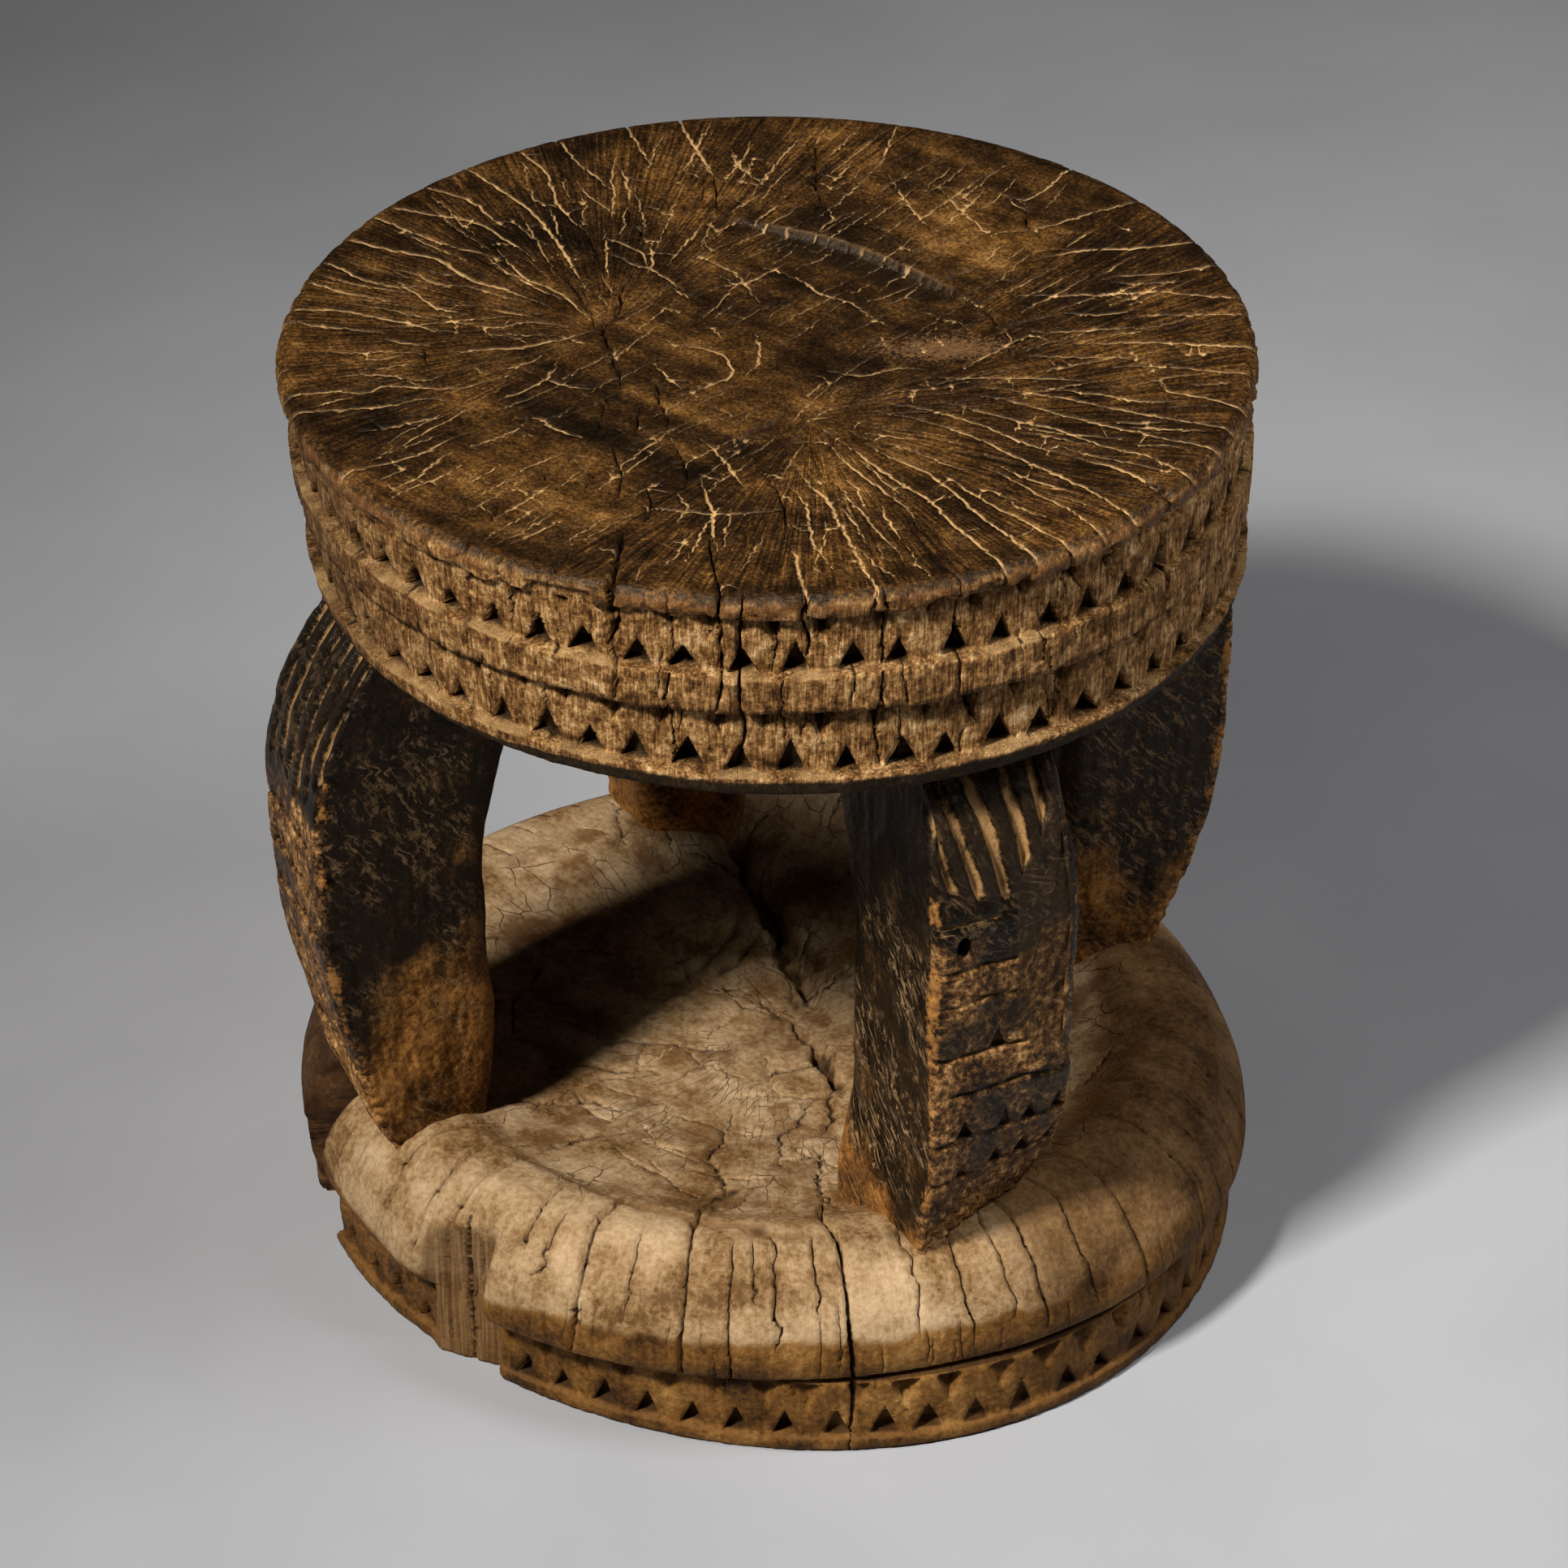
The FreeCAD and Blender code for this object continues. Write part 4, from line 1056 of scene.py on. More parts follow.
# Cracks across the base's shoulder: azimuth, half width, inner radius, lowest height, depth
BASE_CRACKS = [
    (-145.0, 0.48, 84, 24, 2.5), (-138.0, 0.52, 80, 23, 3.0), (-133.5, 0.45, 86, 6, 3.5),
    (-122.7, 0.48, 84, 44, 3.0), (-119.3, 0.45, 90, 40, 3.0), (-113.9, 0.70, 80, 21, 5.0),
    (-107.6, 0.30, 98, 36, 2.0), (-100.6, 0.60, 73, 20, 4.5), (-95.0, 0.35, 97, 20, 2.5),
    (-92.0, 0.28, 98, 42, 2.0), (-89.3, 0.38, 96, 33, 2.5), (-84.2, 0.35, 97, 40, 2.5),
    (-80.6, 0.60, 76, 0, 4.5), (-72.0, 0.28, 99, 34, 2.0), (-66.3, 0.38, 100, 28, 2.5),
    (-60.5, 0.28, 100, 33, 2.0), (-57.0, 0.50, 98, 27, 3.0), (-50.4, 0.40, 97, 28, 2.5),
    (-42.5, 0.45, 98, 15, 2.5), (-31.5, 0.38, 94, 17, 2.5), (-26.5, 0.35, 104, 22, 2.0),
]

# Wandering cracks in the hollow: half width, then points
HOLLOW_CRACKS = [
    (0.5, [(-42, -4), (-33, -2.6), (-24, -3.2), (-14, -4.6), (-8, -3.6)]),
    (0.5, [(-54, -17), (-45, -14.8), (-38, -15.2), (-30, -14.4)]),
    (0.45, [(-68, -40), (-60, -34), (-52, -33), (-44, -30), (-38, -33)]),
    (0.5, [(-56, -58), (-48, -50), (-38, -44), (-31, -40), (-26, -33)]),
    (0.55, [(-12, -73), (-11, -66), (-13, -60), (-15, -52), (-12, -46), (-12, -40)]),
    (0.55, [(3, -56), (2.6, -47), (2.2, -42), (7, -38), (9, -30), (13, -24)]),
    (0.45, [(14.5, -78), (12, -66), (13, -56), (11, -48)]),
    (0.6, [(17, -20), (15, -27), (16, -34), (13, -42)]), (0.5, [(14, -8), (8, -12), (3, -13), (-3, -17)]),
    (0.5, [(12, -3), (7, 2), (5, 9)]),
]

# Swellings at the back of the hollow: middle, spread and height
SWELLINGS = (((-45.0, 56.0), 25.0, 5.0), ((38, 60), 24.0, 4.0))
CREASE = [(-9, 76), (-6, 67), (0.8, 54), (2.2, 43), (8.5, 31), (9, 20), (13, 8)]
KNOT = [(12, -3), (14, -9), (16, -15), (18, -21)]
INNER_LIP = [(-72, -50), (-59, -63.5), (-35, -82), (-18, -90), (0.3, -96), (20, -97)]
STAINS = ((-12.5, -74, 3.5), (-2.6, -94, 3.5), (-14, -80, 3), (30, -96, 4), (-9, -70, 2.5))


def uneven(azimuth, mean, swells):
    """A nearly round outline: a mean radius with its swells added."""
    waves = [height * np.cos(count * (azimuth - math.radians(crest))) for count, height, crest in swells]
    return mean + sum(waves)


def from_line(x, y, points):
    """Distance from points to a line of straight runs, and the share along it."""
    best, where = np.full(x.shape, 1e9), np.zeros(x.shape)
    points = np.array(points, float)
    lengths = np.hypot(*np.diff(points, axis=0).T)
    done = 0.0
    for start, end, length in zip(points, points[1:], lengths):
        d = end - start
        t = np.clip(((x - start[0]) * d[0] + (y - start[1]) * d[1]) / length ** 2, 0, 1)
        away = np.hypot(x - start[0] - t * d[0], y - start[1] - t * d[1])
        where = np.where(away < best, (done + t * length) / lengths.sum(), where)
        best = np.minimum(best, away)
        done += length
    return best, where


def from_ragged_line(x, y, points, noise, reach, wave, layers):
    """The same for a line that noise has made ragged."""
    shift_x, shift_y = (reach * noise(x / wave, y / wave, layer, 2) for layer in layers)
    return from_line(x + shift_x, y + shift_y, points)


def base_place(azimuth):
    """Distance round the unrolled side at an azimuth in degrees."""
    return ((math.radians(azimuth) - SEAM) % TURN) * BASE_R


def base_outlines(s):
    """Azimuth, roll's radius and foot's radius at distances round the unrolled side."""
    azimuth = SEAM + s / BASE_R
    return azimuth, uneven(azimuth, ROLL_MEAN_R, ROLL_SWELLS), uneven(azimuth, FOOT_MEAN_R, FOOT_SWELLS)


def slot_share(s, wobble=0):
    """How far points round the rim lie within the slot."""
    return smooth(SLOT_HALF + 0.45, SLOT_HALF - 0.45, np.abs(s - base_place(SLOT_AZIMUTH) + wobble))


def bulge(angle, z, roll):
    """Share and radius of the lump beyond the slot, which stands straight down to the floor."""
    share = smooth(2.55, 2.9, angle % TURN) * smooth(3.42, 3.34, angle % TURN)
    return share, roll - 0.6 - 3.2 * (1 - np.clip(z / 27.0, 0, 1)) ** 2


def flute_cut(d):
    """Share and radius of the flat flute at a distance along the rim from its middle."""
    return smooth(-13.0, -7.0, d) * smooth(12.0, 7.8, d), FLUTE_FLOOR_R - 0.34 * d


def base_profile():
    """Distance down the side, with inset, height and whether the foot's outline applies, at each bend."""
    apart = ROLL_MEAN_R - FOOT_MEAN_R
    bends = [(inset, z, inset, 0.0) for inset, z in ROLL]
    bends += [(inset, z, inset + apart, 1.0) for inset, z in FOOT]
    inset, z, run_inset, foot = np.array(bends, float).T
    t = np.concatenate([[0], np.cumsum(np.hypot(np.diff(run_inset), np.diff(z)))])
    return t, inset, z, foot


def shoulder_cracks(rng):
    """The cracks seen across the shoulder, and others like them round the hidden sides."""
    cracks = list(BASE_CRACKS)
    azimuth = -22.0
    while azimuth < 212.0:
        if not 182 < azimuth < 206:
            half, inner, low = rng.uniform(0.28, 0.5), rng.uniform(84, 103), rng.choice([0, 20, 20, 30, 38])
            cracks.append((azimuth, half, inner, low, rng.uniform(2.0, 3.5)))
        azimuth += rng.uniform(4.0, 9.0)
    return cracks


def hollow_cracks(rng):
    """Cracks in the hollow: the wandering ones that are seen, and finer ones between."""
    cracks = [Crack(points, 1.6 * half, 2.0, True, rng, jag=0.5) for half, points in HOLLOW_CRACKS]
    for i in range(HOLLOW_FINE_CRACKS):
        azimuth, reach = rng.uniform(0, TURN), rng.uniform(8, 92)
        heading = azimuth + rng.choice([0.0, math.pi / 2], p=[0.35, 0.65]) + rng.normal(0, 0.3)
        p = np.array([reach * math.cos(azimuth), reach * math.sin(azimuth)])
        points = [p]
        for k in range(rng.integers(2, 6)):
            heading += rng.normal(0, 0.22)
            p = p + rng.uniform(2.5, 5.5) * heading_of(heading)
            points.append(p)
        if np.hypot(*p) < 96:
            half, depth, dark = rng.uniform(0.28, 0.55), rng.uniform(0.6, 1.2), rng.random() < 0.85
            cracks.append(Crack(points, half, depth, dark, rng, jag=0.3, strength=rng.uniform(0.6, 1.0)))
    return cracks


def plan_cracks(rng, across, ring, ring_xy):
    """The cracks on the plan, and the ring position from which each shoulder crack starts."""
    cracks, starts = hollow_cracks(rng), []
    for azimuth, half, inner, low, depth in across:
        i = np.abs(ring - base_place(azimuth)).argmin()
        edge = ring_xy[i]
        out = heading_of(math.radians(azimuth))
        side = np.array([-out[1], out[0]])
        length = np.hypot(*edge) - inner
        inward = [edge - out * length * k + side * rng.normal(0, 0.035 * length) for k in (0.3, 0.65, 1.0)]
        crack = Crack([edge] + inward, CRACK_WIDEN * half, depth, True, rng, open_start=True, jag=0.15)
        cracks.append(crack)
        starts.append(ring[i])
    return cracks, starts


def hollow_height(x, y, share):
    """The hollow inside the base: a bowl with two swellings at the back and a crease between them."""
    n = Noise(41)
    z = 34.5 + 15.0 * share ** 2.3
    for (middle_x, middle_y), spread, height in SWELLINGS:
        z = z + height * np.exp(-(((x - middle_x) ** 2 + (y - middle_y) ** 2) / spread ** 2))
    away, t = from_ragged_line(x, y, CREASE, n, 2.2, 7, (1.0, 4.0))
    crease = np.exp(-(away / 1.7) ** 2) * smooth(1.0, 0.8, t)
    z = z - 6.5 * np.exp(-(away / 2.8) ** 2) * smooth(1.0, 0.8, t)
    z = z - 2.0 * np.exp(-(away / 9.0) ** 2) * smooth(1.0, 0.7, t)
    away, t = from_ragged_line(x, y, KNOT, n, 2.6, 4, (2.0, 7.0))
    hole = 8.0 * smooth(2.6, 1.0, away) * (0.5 + 0.5 * smooth(1.0, 0.5, t))
    lobe_x, lobe_y = SWELLINGS[0][0]
    from_lobe = np.hypot(x - lobe_x, y - lobe_y)
    rings = 0.5 + 0.5 * np.cos(TURN * (from_lobe + 1.6 * n(x / 9, y / 9, 3.0, 2)) / 5.4)
    wrinkle = rings ** 3 * bump(from_lobe, 40, 14) * hump_at(np.arctan2(y - lobe_y, x - lobe_x), -28, 0.95)
    z = z - hole - 2.4 * wrinkle
    z = z + 0.8 * n(x / 20, y / 20, 0.0, 3) * smooth(1.02, 0.9, share) + 0.2 * n(x / 3.5, y / 3.5, 5.0, 2)
    # The second value is painted shade in the knot hole and along the crease
    return z, np.clip(hole / 5 + 0.8 * crease, 0, 1), wrinkle


def base_plan_mesh(cracks, ring, ring_r, ring_xy):
    """Triangles over the plan, and the ids of its rim."""
    def inside(p):
        s = (np.arctan2(p[:, 1], p[:, 0]) - SEAM) % TURN * BASE_R
        return p[np.hypot(*p.T) < np.interp(s, ring, ring_r, period=BASE_AROUND) - 0.7]

    seeds = thinned(inside(np.concatenate([crack.seeds() for crack in cracks])), 0.15)
    fill = clear_of(inside(scatter(BASE_BOX, 1.3, 4)), seeds, 0.65)
    return triangulate(ring_xy, np.concatenate([seeds, fill]))


def base_plan(rng, across, ring):
    """The hollow and shoulder as a sheet, with the ids of its rim and the shoulder cracks' starts."""
    n1, n2 = BASE_NOISE[:2]
    ring_azimuth, ring_roll = base_outlines(ring)[:2]
    ring_r = ring_roll * (1 - RING_INSET / ROLL_MEAN_R)
    ring_r = ring_r - slot_share(ring) * np.clip(ring_r - SLOT_FLOOR_R, 0, None)
    ring_xy = ring_points(ring_azimuth, ring_r)
    cracks, starts = plan_cracks(rng, across, ring, ring_xy)
    flat, faces, rim_ids = base_plan_mesh(cracks, ring, ring_r, ring_xy)
    x, y = flat.T
    r, angle = np.hypot(x, y), np.arctan2(y, x)
    roll = uneven(angle, ROLL_MEAN_R, ROLL_SWELLS)
    share = np.clip(r / (roll - SHOULDER[0][0]), 0, 1)
    inset = np.clip((roll - r) / roll * ROLL_MEAN_R, 10, 24)
    z, hole, wrinkle = hollow_height(x, y, share)
    blend = smooth(0.86, 1.0, share)
    z = z * (1 - blend) + curve(SHOULDER, inset) * blend
    away, t = from_ragged_line(x, y, INNER_LIP, n2, 1.5, 6, (1.0, 4.0))
    scarp = np.exp(-(away / 2.0) ** 2) * smooth(0.0, 0.15, t) * smooth(1.0, 0.85, t)
    groove, dust, dark = crack_fields(cracks, flat)
    uneven_shoulder = 0.22 * n1(x / 9, y / 9, 2.0, 2) * smooth(0.9, 1.0, share) * smooth(10, 14, inset)
    z = z - groove - 1.2 * scarp * (0.6 + 0.6 * n1(x / 7, y / 7, 0.0)) + uneven_shoulder
    stain_and_shade = sum(np.exp(-(((x - sx) ** 2 + (y - sy) ** 2) / w ** 2)) for sx, sy, w in STAINS)
    # Painted shade in the knot hole, the crease and the wrinkles' troughs goes into the dark mask together
    # with the stains
    masks = {"crack": np.clip(dark, 0, 1), "dust": dust,
             "dark": np.clip(hole + 0.75 * wrinkle + 0.6 * stain_and_shade, 0, 1), "band": 0 * x, "flute": 0 * x,
             "hollow": 1 - smooth(0.92, 1.0, share), "polish": 0 * x, "edge": scarp,
             "lobe": hump_at(angle, 178, 0.34) * smooth(88, 100, r), "tan": tanned(angle) * smooth(76, 92, r)}
    grain = np.stack([BASE_R * np.cos(angle), BASE_R * np.sin(angle), GRAIN_START - r], -1)
    points = np.stack([x, y, np.clip(z, 0.5, 50.4)], -1)
    return Sheet(points, faces, masks, grain), rim_ids, starts


def tanned(angle):
    """The stretch of the base at the right that has darkened."""
    return smooth(0.95, 0.4, np.abs(wrap(angle - math.radians(-20))))


def base_foot_edge(s):
    """Height of the tooth band's foot, which wanders a little."""
    return BASE_BAND[0] + 0.5 * BASE_NOISE[0](np.cos(s / BASE_R) * 6, np.sin(s / BASE_R) * 6, 0.1, 2)


def base_top_edge(s):
    return 0 * s + BASE_BAND[1]


def base_side_cracks(rng, across, starts, down, height):
    """Cracks of the unrolled side: those of the shoulder running on down, and short ones."""
    cracks = []
    for (azimuth, half, inner, low, depth), s in zip(across, starts):
        end = float(down(max(low, 0.6)))
        middle = [(s + rng.normal(0, 0.5), end * k) for k in (0.25, 0.5, 0.75)]
        points = [(s, 0)] + middle + [(s + rng.normal(0, 0.6), end)]
        cracks.append(Crack(points, CRACK_WIDEN * half, depth, True, rng, open_start=True, jag=0.15))
    for i in range(BASE_SHORT_CRACKS):
        s, t = rng.uniform(3, BASE_AROUND - 3), rng.uniform(2, 26)
        length = rng.uniform(5, 20)
        points = [(s, t), (s + rng.normal(0, 0.4), t + length / 2)]
        points.append((s + rng.normal(0, 0.7), min(t + length, height - 1)))
        half, strength = rng.uniform(0.12, 0.22), rng.uniform(0.4, 0.9)
        cracks.append(Crack(points, half, 1.0, True, rng, jag=0.12, strength=strength))
    return cracks


def base_cuts():
    """The cuts of the base's tooth band."""
    return make_teeth(BASE_TEETH, BASE_AROUND, 33, (3.4, 8.2, 4.6), (4.2, 10.0, 4.2))


def base_lines(down, height):
    """Points along the band's edges, the groove above it, its cuts' rims and the slot's walls."""
    run = np.arange(0.6, BASE_AROUND - 0.6, 1.0)
    lines = [np.stack([run, down(base_foot_edge(run) + off)], -1) for off in (-0.3, 0.15)]
    lines += [np.stack([run, 0 * run + down(level)], -1) for level in (22.1, 21.7, 21.1, 20.5)]
    points = tooth_seeds(base_cuts(), base_foot_edge, base_top_edge)
    lines.append(np.stack([points[:, 0], down(points[:, 1])], -1))
    drop = np.arange(0.6, height - 0.5, 0.9)
    slot_s = base_place(SLOT_AZIMUTH)
    for off in (-SLOT_HALF - 0.5, -SLOT_HALF + 0.5, SLOT_HALF - 0.5, SLOT_HALF + 0.5):
        lines.append(np.stack([0 * drop + slot_s + off, drop], -1))
    return lines


def base_side_form(t, roll, foot, bends):
    """The plain side: radius, height, share of the foot, and outward direction at distances down."""
    bend_t, bend_inset, bend_z = bends[:3]
    inset, z, on_foot = (np.interp(t, bend_t, values) for values in bends[1:])
    turn_t = bend_t[len(ROLL) - 1]
    rolled = t < turn_t
    inset[rolled] = curve(list(zip(bend_t, bend_inset))[:len(ROLL)], t[rolled])
    z[rolled] = curve(list(zip(bend_t, bend_z))[:len(ROLL)], t[rolled])
    radius = roll * (1 - inset / ROLL_MEAN_R) * (1 - on_foot) + (foot - inset) * on_foot
    eps = 0.4
    fall = np.interp(t + eps, bend_t, bend_z) - np.interp(t - eps, bend_t, bend_z)
    out_r = np.clip(-fall / (2 * eps), 0.25, 1)
    return radius, z, on_foot, out_r, np.sqrt(1 - out_r ** 2) * smooth(turn_t, 8, t)


def base_side_depth(at, z, on_foot, band, lump, fibre):
    """Depth of the band's cuts and the wood's unevenness, and the shade painted into the cuts."""
    n1, n2 = BASE_NOISE[:2]
    cut, pit, notch = tooth_depth(base_cuts(), BASE_AROUND, at.s, z, base_foot_edge, base_top_edge)
    crisp = np.clip(0.95 - 0.5 * np.abs(at.noise(n2, 3, 8.0)), 0.35, 1)
    uneven_roll = 0.6 * np.abs(lump) + 0.12 * np.abs(at.noise(n1, 40, z / 3.4, 2))
    depth = smooth(0.0, 6.0, at.t) * uneven_roll * (1 - on_foot)
    rough = 0.12 + 0.12 * fibre + 0.45 * np.abs(at.noise(n1, 15, z / 8, 3))
    depth = depth + on_foot * rough + band * cut * crisp
    return np.maximum(depth, 0), band * (pit * 0.85 + notch * 0.55)


def base_slot(at, z):
    """Share of the ragged slot, and the radius of its floor."""
    n1, n2 = BASE_NOISE[:2]
    slot = slot_share(at.s, 0.9 * n2(z / 9, at.s / 20, 0.0, 2) * smooth(0, 8, at.t))
    ragged = 1.5 * at.noise(n1, 19, z / 6, 2) - 1.5 * smooth(10, 40, at.t)
    return slot, SLOT_FLOOR_R + ragged * smooth(0, 5, at.t)


def base_low_roll(at, z, on_foot):
    """Share of the brown wood that reaches up the roll to a ragged edge."""
    n2, n3 = BASE_NOISE[1:]
    edge_height = 33.5 + 1.8 * at.noise(n2, 9, 2.0, 2) + 0.7 * at.noise(n3, 40, 2.0, 2)
    edge_height = edge_height - 9.0 * hump_at(at.azimuth, -142, 0.5)
    return (1 - on_foot) * smooth(2.6, -2.2, z - edge_height)


def base_side(rng, across, starts, ring):
    """The roll and foot as a sheet, with its joins."""
    n1, n2, n3 = BASE_NOISE
    bends = base_profile()
    bend_t, bend_z = bends[0], bends[2]
    height = bend_t[-1]

    def down(level):
        return np.interp(-np.asarray(level), -bend_z, bend_t)

    cracks = base_side_cracks(rng, across, starts, down, height)
    flat, faces, joins = unroll(cracks, base_lines(down, height), ring, BASE_AROUND, height, BASE_MESH)
    at = Side(flat, BASE_R)
    s, t = at.s, at.t
    angle, roll, foot = base_outlines(s)
    radius, z, on_foot, out_r, out_z = base_side_form(t, roll, foot, bends)

    # The band, the wood's unevenness and the cracks
    d = s - base_place(FLUTE_AZIMUTH)
    flute, floor_r = flute_cut(d)
    lump_share, lump_r = bulge(angle, z, roll)
    band_top = BASE_BAND[1]
    band = smooth(-0.1, 0.25, z - base_foot_edge(s)) * smooth(band_top + 0.1, band_top - 0.4, z) * on_foot
    band = band * (1 - flute) * (1 - lump_share)
    lump = at.noise(n2, 4.2, z / 30, 2)
    fibre = at.noise(n3, 85, z / 15, 2)
    depth, cut_dark = base_side_depth(at, z, on_foot, band, lump, fibre)
    groove, crack_dust, crack_dark = crack_fields(cracks, flat)
    depth = depth + groove
    radius = radius - depth * out_r
    z = z - depth * out_z * smooth(0.0, 6.0, t)

    # The log's own lump, flute and slot
    lump_r = lump_r - 0.7 * np.abs(lump) - 0.5 * np.abs(at.noise(n1, 15, z / 8, 3)) - groove
    radius = radius + lump_share * np.clip(lump_r - radius, 0, 12) * smooth(27, 23, z)
    split = bump(d, 0.8 + 0.5 * n1(z / 16, 3.0, 0.0, 2), 0.95) * flute
    floor_r = floor_r + 0.45 * fibre - groove - 1.5 * split
    radius = radius + flute * (np.where(z > 27, np.minimum(radius, floor_r), floor_r) - radius)
    slot, floor_r = base_slot(at, z)
    z = z + slot * (float(curve(SHOULDER, np.array(17.0))) - bend_z[0]) * smooth(25, 0, t)
    radius = radius - slot * np.clip(radius - floor_r, 0, 40)

    low_roll = base_low_roll(at, z, on_foot)
    groove_line = bump(z, 21.2, 1.0) * (1 - flute) * (1 - lump_share)
    # Painted shade in the band's pits and notches, in the groove under the roll and in the slot
    dark = cut_dark + 0.9 * groove_line + 0.7 * slot * smooth(2, 6, t)
    masks = {"crack": np.clip(crack_dark + split, 0, 1), "dust": crack_dust * (1 - flute),
             "flute": flute * smooth(43, 39, z), "dark": np.clip(dark, 0, 1),
             "band": np.clip(on_foot + low_roll, 0, 1) * (1 - 0.3 * flute), "hollow": 0 * s,
             "polish": bump(z, 41, 6) * (0.5 + 0.8 * at.noise(n2, 7, 0.0)) * (1 - slot),
             "edge": bump(z, 4.2, 0.9) * on_foot, "lobe": hump_at(angle, 180, 0.42), "tan": tanned(angle)}
    grain = np.stack([BASE_R * at.c, BASE_R * at.sn, GRAIN_START - ROLL_MEAN_R + RING_INSET - t], -1)
    points = np.stack([radius * at.c, radius * at.sn, np.maximum(z, 0)], -1)
    return Sheet(points, faces, masks, grain), joins


def base_under(ring, names):
    """The underside as a sheet, with the ids of its edge."""
    azimuth, roll, foot = base_outlines(ring)
    foot = foot - FOOT[-1][0]
    slot = slot_share(ring)
    low_r = foot - slot * np.clip(foot - SLOT_FLOOR_R + 1.5, 0, None)
    lump_share, lump_r = bulge(azimuth, 0.0, roll)
    low_r = low_r + lump_share * np.clip(lump_r - 2.5 - low_r, 0, None) * (1 - slot)
    flute, floor_r = flute_cut(ring - base_place(FLUTE_AZIMUTH))
    low_r = low_r + flute * (floor_r - 0.8 - low_r)
    fill = scatter(BASE_BOX, UNDER_SPACING, 6)
    fill_s = (np.arctan2(fill[:, 1], fill[:, 0]) - SEAM) % TURN * BASE_R
    reach = np.interp(fill_s, ring, low_r, period=BASE_AROUND)
    flat, faces, edge_ids = triangulate(ring_points(azimuth, low_r), fill[np.hypot(*fill.T) < reach - 3])
    zero = np.zeros(len(flat))
    # Painted shade: the whole underside is darkened
    masks = {name: zero for name in names} | {"band": zero + 1, "dark": zero + 0.4}
    points = np.stack([flat[:, 0], flat[:, 1], zero], -1)
    return Sheet(points, faces[:, ::-1], masks, points), edge_ids


def make_base(material):
    rng = np.random.default_rng(9)
    across = shoulder_cracks(rng)
    slot_s = base_place(SLOT_AZIMUTH)
    marks = [(base_place(crack[0]), crack[1]) for crack in across]
    ring = ring_of(BASE_AROUND, 1.06, marks + [(slot_s - SLOT_HALF, 0.4), (slot_s + SLOT_HALF, 0.4)])
    plan, rim_ids, starts = base_plan(rng, across, ring)
    side = base_side(rng, across, starts, ring)
    make_drum("base", (plan, rim_ids), side, base_under(ring, plan.masks), material)


# Legs

# Height, outer radius and inner radius down the common leg
LEG_FORM = ((193, 101.5, 59), (191, 103, 60), (178, 111.5, 64.5), (162, 118.6, 69.5), (140, 121.8, 76),
            (115, 121.4, 79.2), (92, 119, 78.6), (78, 115, 77.4), (62, 107, 78), (47, 98.5, 80), (36, 93, 81))
LEG_ROWS = np.concatenate([[36.0], np.linspace(40, 190.6, 225), [191.4]])
LINE_LEVELS = (136.0, 124.0, 112.0, 100.0, 89.0, 80.0, 71.0)
FRONT_LEVELS = (148.5, 136.0, 126.0, 110.5, 99.5, 86.0, 73.5)

# Where pits stand across the lower lines of every leg, and the upper ones of the left and front legs
PIT_OFFSETS = (-9.0, 1.5, 8.8, 15.5)
LEFT_PIT_OFFSETS = (-13.0, -6.5, 0.5, 7.0, 13.0)
FRONT_PIT_OFFSETS = (-1.0,)

# For each leg: azimuth, outer and inner shift, how far its flutes lean, foot bulge, seed, the crests
# between its flutes, and the heights at which the flutes end, from the left and from the right
Leg = namedtuple("Leg", "azimuth outer_shift inner_shift turn foot_bulge seed crests ends")
LEGS = {
    "leg_left": Leg(203.0, 1.5, 0.0, 0.0, 8.0, 61, (-16.5, -10.5, -4.5, 1.5, 7.5, 13.5, 18.5), (146, 152)),
    "leg_front": Leg(298.0, -4.0, -11.0, 0.24, 0.0, 62, (-13.2, -7.4, -1.7, 4.1, 9.4, 14.0, 18.6),
                     (148, 153)),
    "leg_right": Leg(23.0, -3.0, -4.0, 0.0, 3.5, 63, (-16.0, -9.5, -3.0, 3.5, 10.0, 16.5), (142, 146)),
    "leg_back": Leg(105.0, -2.7, -2.0, 0.0, 0.0, 64, (-16.0, -9.5, -3.0, 3.5, 10.0, 16.5), (144, 141)),
}

# The heights between which each leg's black patina gives way to brown wood; the back leg is brown all over,
# painted light on a leg that stands in shade
BROWN = {"leg_left": (116, 66), "leg_front": (74, 46), "leg_right": (92, 50), "leg_back": (200, 190)}

# How far the front leg's left arris stands out from its outer face: (height, distance)
FRONT_ARRIS = ((193, 0), (178, -2), (162, -4.5), (140, -5.5), (115, -5.5), (92, -1.5), (78, 2.5), (62, 7),
               (47, 12), (36, 14))

# The front leg's right arris is shaved to a facet: (height, where it starts across the face)
FACET = ((178, 16), (165, 9), (150, 2.5), (130, 3), (118, 4), (110, 6.5), (104, 14), (98, 20))

# A leg's section: how far each corner is rounded, points along each edge and points round a corner
CORNER_CUTS = (2.6, 7.0, 5.5, 2.0)
EDGE_POINTS = (46, 30, 46, 100)
CORNER_POINTS = 6
FLANKS, OUTER_FACE = (0, 2), 3


